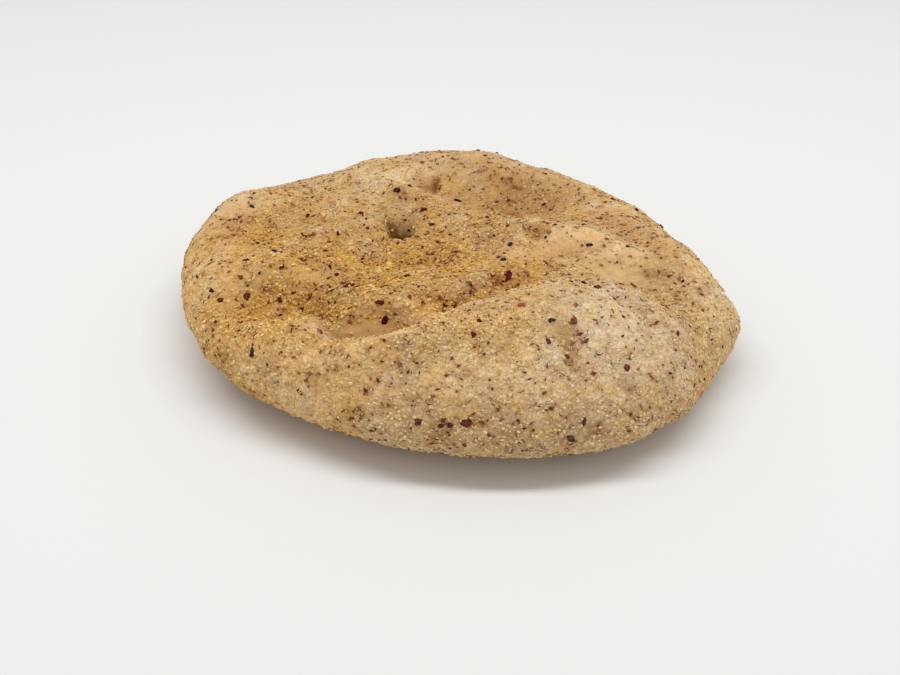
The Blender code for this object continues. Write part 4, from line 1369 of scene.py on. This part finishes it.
class FOCACCIA_OT_bits(bpy.types.Operator):
    """Drop bright bits of maize and soft crumbs of flour on the crust"""

    bl_idname = "focaccia.bits"
    bl_label = "Bright bits and flour"

    def execute(self, context):
        settings = context.scene.focaccia_bits
        flour, clean = settings.flour, settings.clean_flour
        surface = Surface()
        fibre_piece(surface, settings.fibre_count, flour)
        rng = np.random.default_rng(BIT_SEED)
        maize = dry_grain("broken maize", (settings.yellow, settings.orange), flour, BIT_LOOK)
        bit_piece(surface, settings.bit_count, maize, rng)
        loose = dry_grain("flour", (flour, flour), flour, CRUMB_LOOK)
        places, normals, _, lengths = surface.strew(CRUMB, settings.crumb_count, rng)
        crumb_piece("flour_crumbs", surface, places, normals, lengths, CRUMB_RAISED, loose, rng)
        lumps = MM * np.array(FLOUR_LUMPS)
        clotted = dry_grain("clotted flour", (flour, clean), clean, LUMP_LOOK)
        spots, directions = surface.drop(lumps[:, :2])
        crumb_piece("flour_lumps", surface, spots, directions, lumps[:, 2], LUMP_RAISED, clotted, rng)
        return {"FINISHED"}


def place_object(name, data):
    """An object in the scene that isn't part of the loaf."""
    placed = bpy.data.objects.new(name, data)
    bpy.context.scene.collection.objects.link(placed)
    return placed


class FOCACCIA_OT_stage(bpy.types.Operator):
    """Set the floor, the soft light and the camera"""

    bl_idname = "focaccia.stage"
    bl_label = "Stage"

    def execute(self, context):
        settings = context.scene.focaccia_stage
        scene = context.scene
        floor_data = bpy.data.meshes.new("floor")
        signs = ((-1, -1), (1, -1), (1, 1), (-1, 1))
        corners = [(x * FLOOR_SIDE / 2, y * FLOOR_SIDE / 2, -FLOOR_GAP) for x, y in signs]
        floor_data.from_pydata(corners, (), [(0, 1, 2, 3)])
        material, tree = new_material("painted board")
        finish_material(tree, {"Base Color": opaque(settings.floor), "Roughness": FLOOR_ROUGHNESS})
        floor_data.materials.append(material)
        floor = place_object("floor", floor_data)

        world = bpy.data.worlds.new("studio")
        world.use_nodes = True
        background = world.node_tree.nodes["Background"]
        background.inputs["Color"].default_value = (1, 1, 1, 1)
        background.inputs["Strength"].default_value = WORLD_STRENGTH
        scene.world = world

        lamp = bpy.data.lights.new("overhead strip", "AREA")
        lamp.shape = "RECTANGLE"
        lamp.size, lamp.size_y = STRIP_SIZE
        lamp.energy = settings.light_power
        place_object("overhead strip", lamp).location = STRIP_PLACE

        lens = bpy.data.cameras.new("camera")
        lens.lens = settings.lens
        lens.sensor_width = SENSOR_WIDTH
        lens.clip_start = CLIP_START
        camera = place_object("camera", lens)
        back = Vector((0, -math.cos(settings.elevation), math.sin(settings.elevation)))
        camera.location = LOOK_AT + back * settings.distance
        camera.rotation_euler = back.to_track_quat("Z", "Y").to_euler()
        scene.camera = camera
        scene.view_settings.view_transform = "Standard"
        return {"FINISHED"}


OPERATORS = (
    FOCACCIA_OT_crust,
    FOCACCIA_OT_bran,
    FOCACCIA_OT_meal,
    FOCACCIA_OT_husk,
    FOCACCIA_OT_bits,
    FOCACCIA_OT_stage,
)
SETTINGS = {
    "focaccia_crust": CrustSettings,
    "focaccia_meal": MealSettings,
    "focaccia_bran": BranSettings,
    "focaccia_husk": HuskSettings,
    "focaccia_bits": BitSettings,
    "focaccia_stage": StageSettings,
}


class FOCACCIA_PT_sidebar(bpy.types.Panel):
    """Lists the steps that dress the loaf"""

    bl_idname = "FOCACCIA_PT_sidebar"
    bl_label = "Mini focaccia"
    bl_space_type = "VIEW_3D"
    bl_region_type = "UI"
    bl_category = "Focaccia"

    def draw(self, context):
        for operator in OPERATORS:
            self.layout.operator(operator.bl_idname)
        for group in SETTINGS:
            box = self.layout.box()
            for field in SETTINGS[group].__annotations__:
                box.prop(getattr(context.scene, group), field)


def register():
    """Adds the settings, the operators and the panel."""
    for group, kind in SETTINGS.items():
        bpy.utils.register_class(kind)
        setattr(bpy.types.Scene, group, PointerProperty(type=kind))
    for kind in (*OPERATORS, FOCACCIA_PT_sidebar):
        bpy.utils.register_class(kind)


def unregister():
    """Takes them away again."""
    for kind in (FOCACCIA_PT_sidebar, *reversed(OPERATORS)):
        bpy.utils.unregister_class(kind)
    for group, kind in SETTINGS.items():
        delattr(bpy.types.Scene, group)
        bpy.utils.unregister_class(kind)


def main():
    """Dresses the loaf."""
    register()
    bpy.ops.focaccia.crust()
    bpy.ops.focaccia.bran()
    bpy.ops.focaccia.meal()
    bpy.ops.focaccia.husk()
    bpy.ops.focaccia.bits()
    bpy.ops.focaccia.stage()


if __name__ == "__main__":
    main()
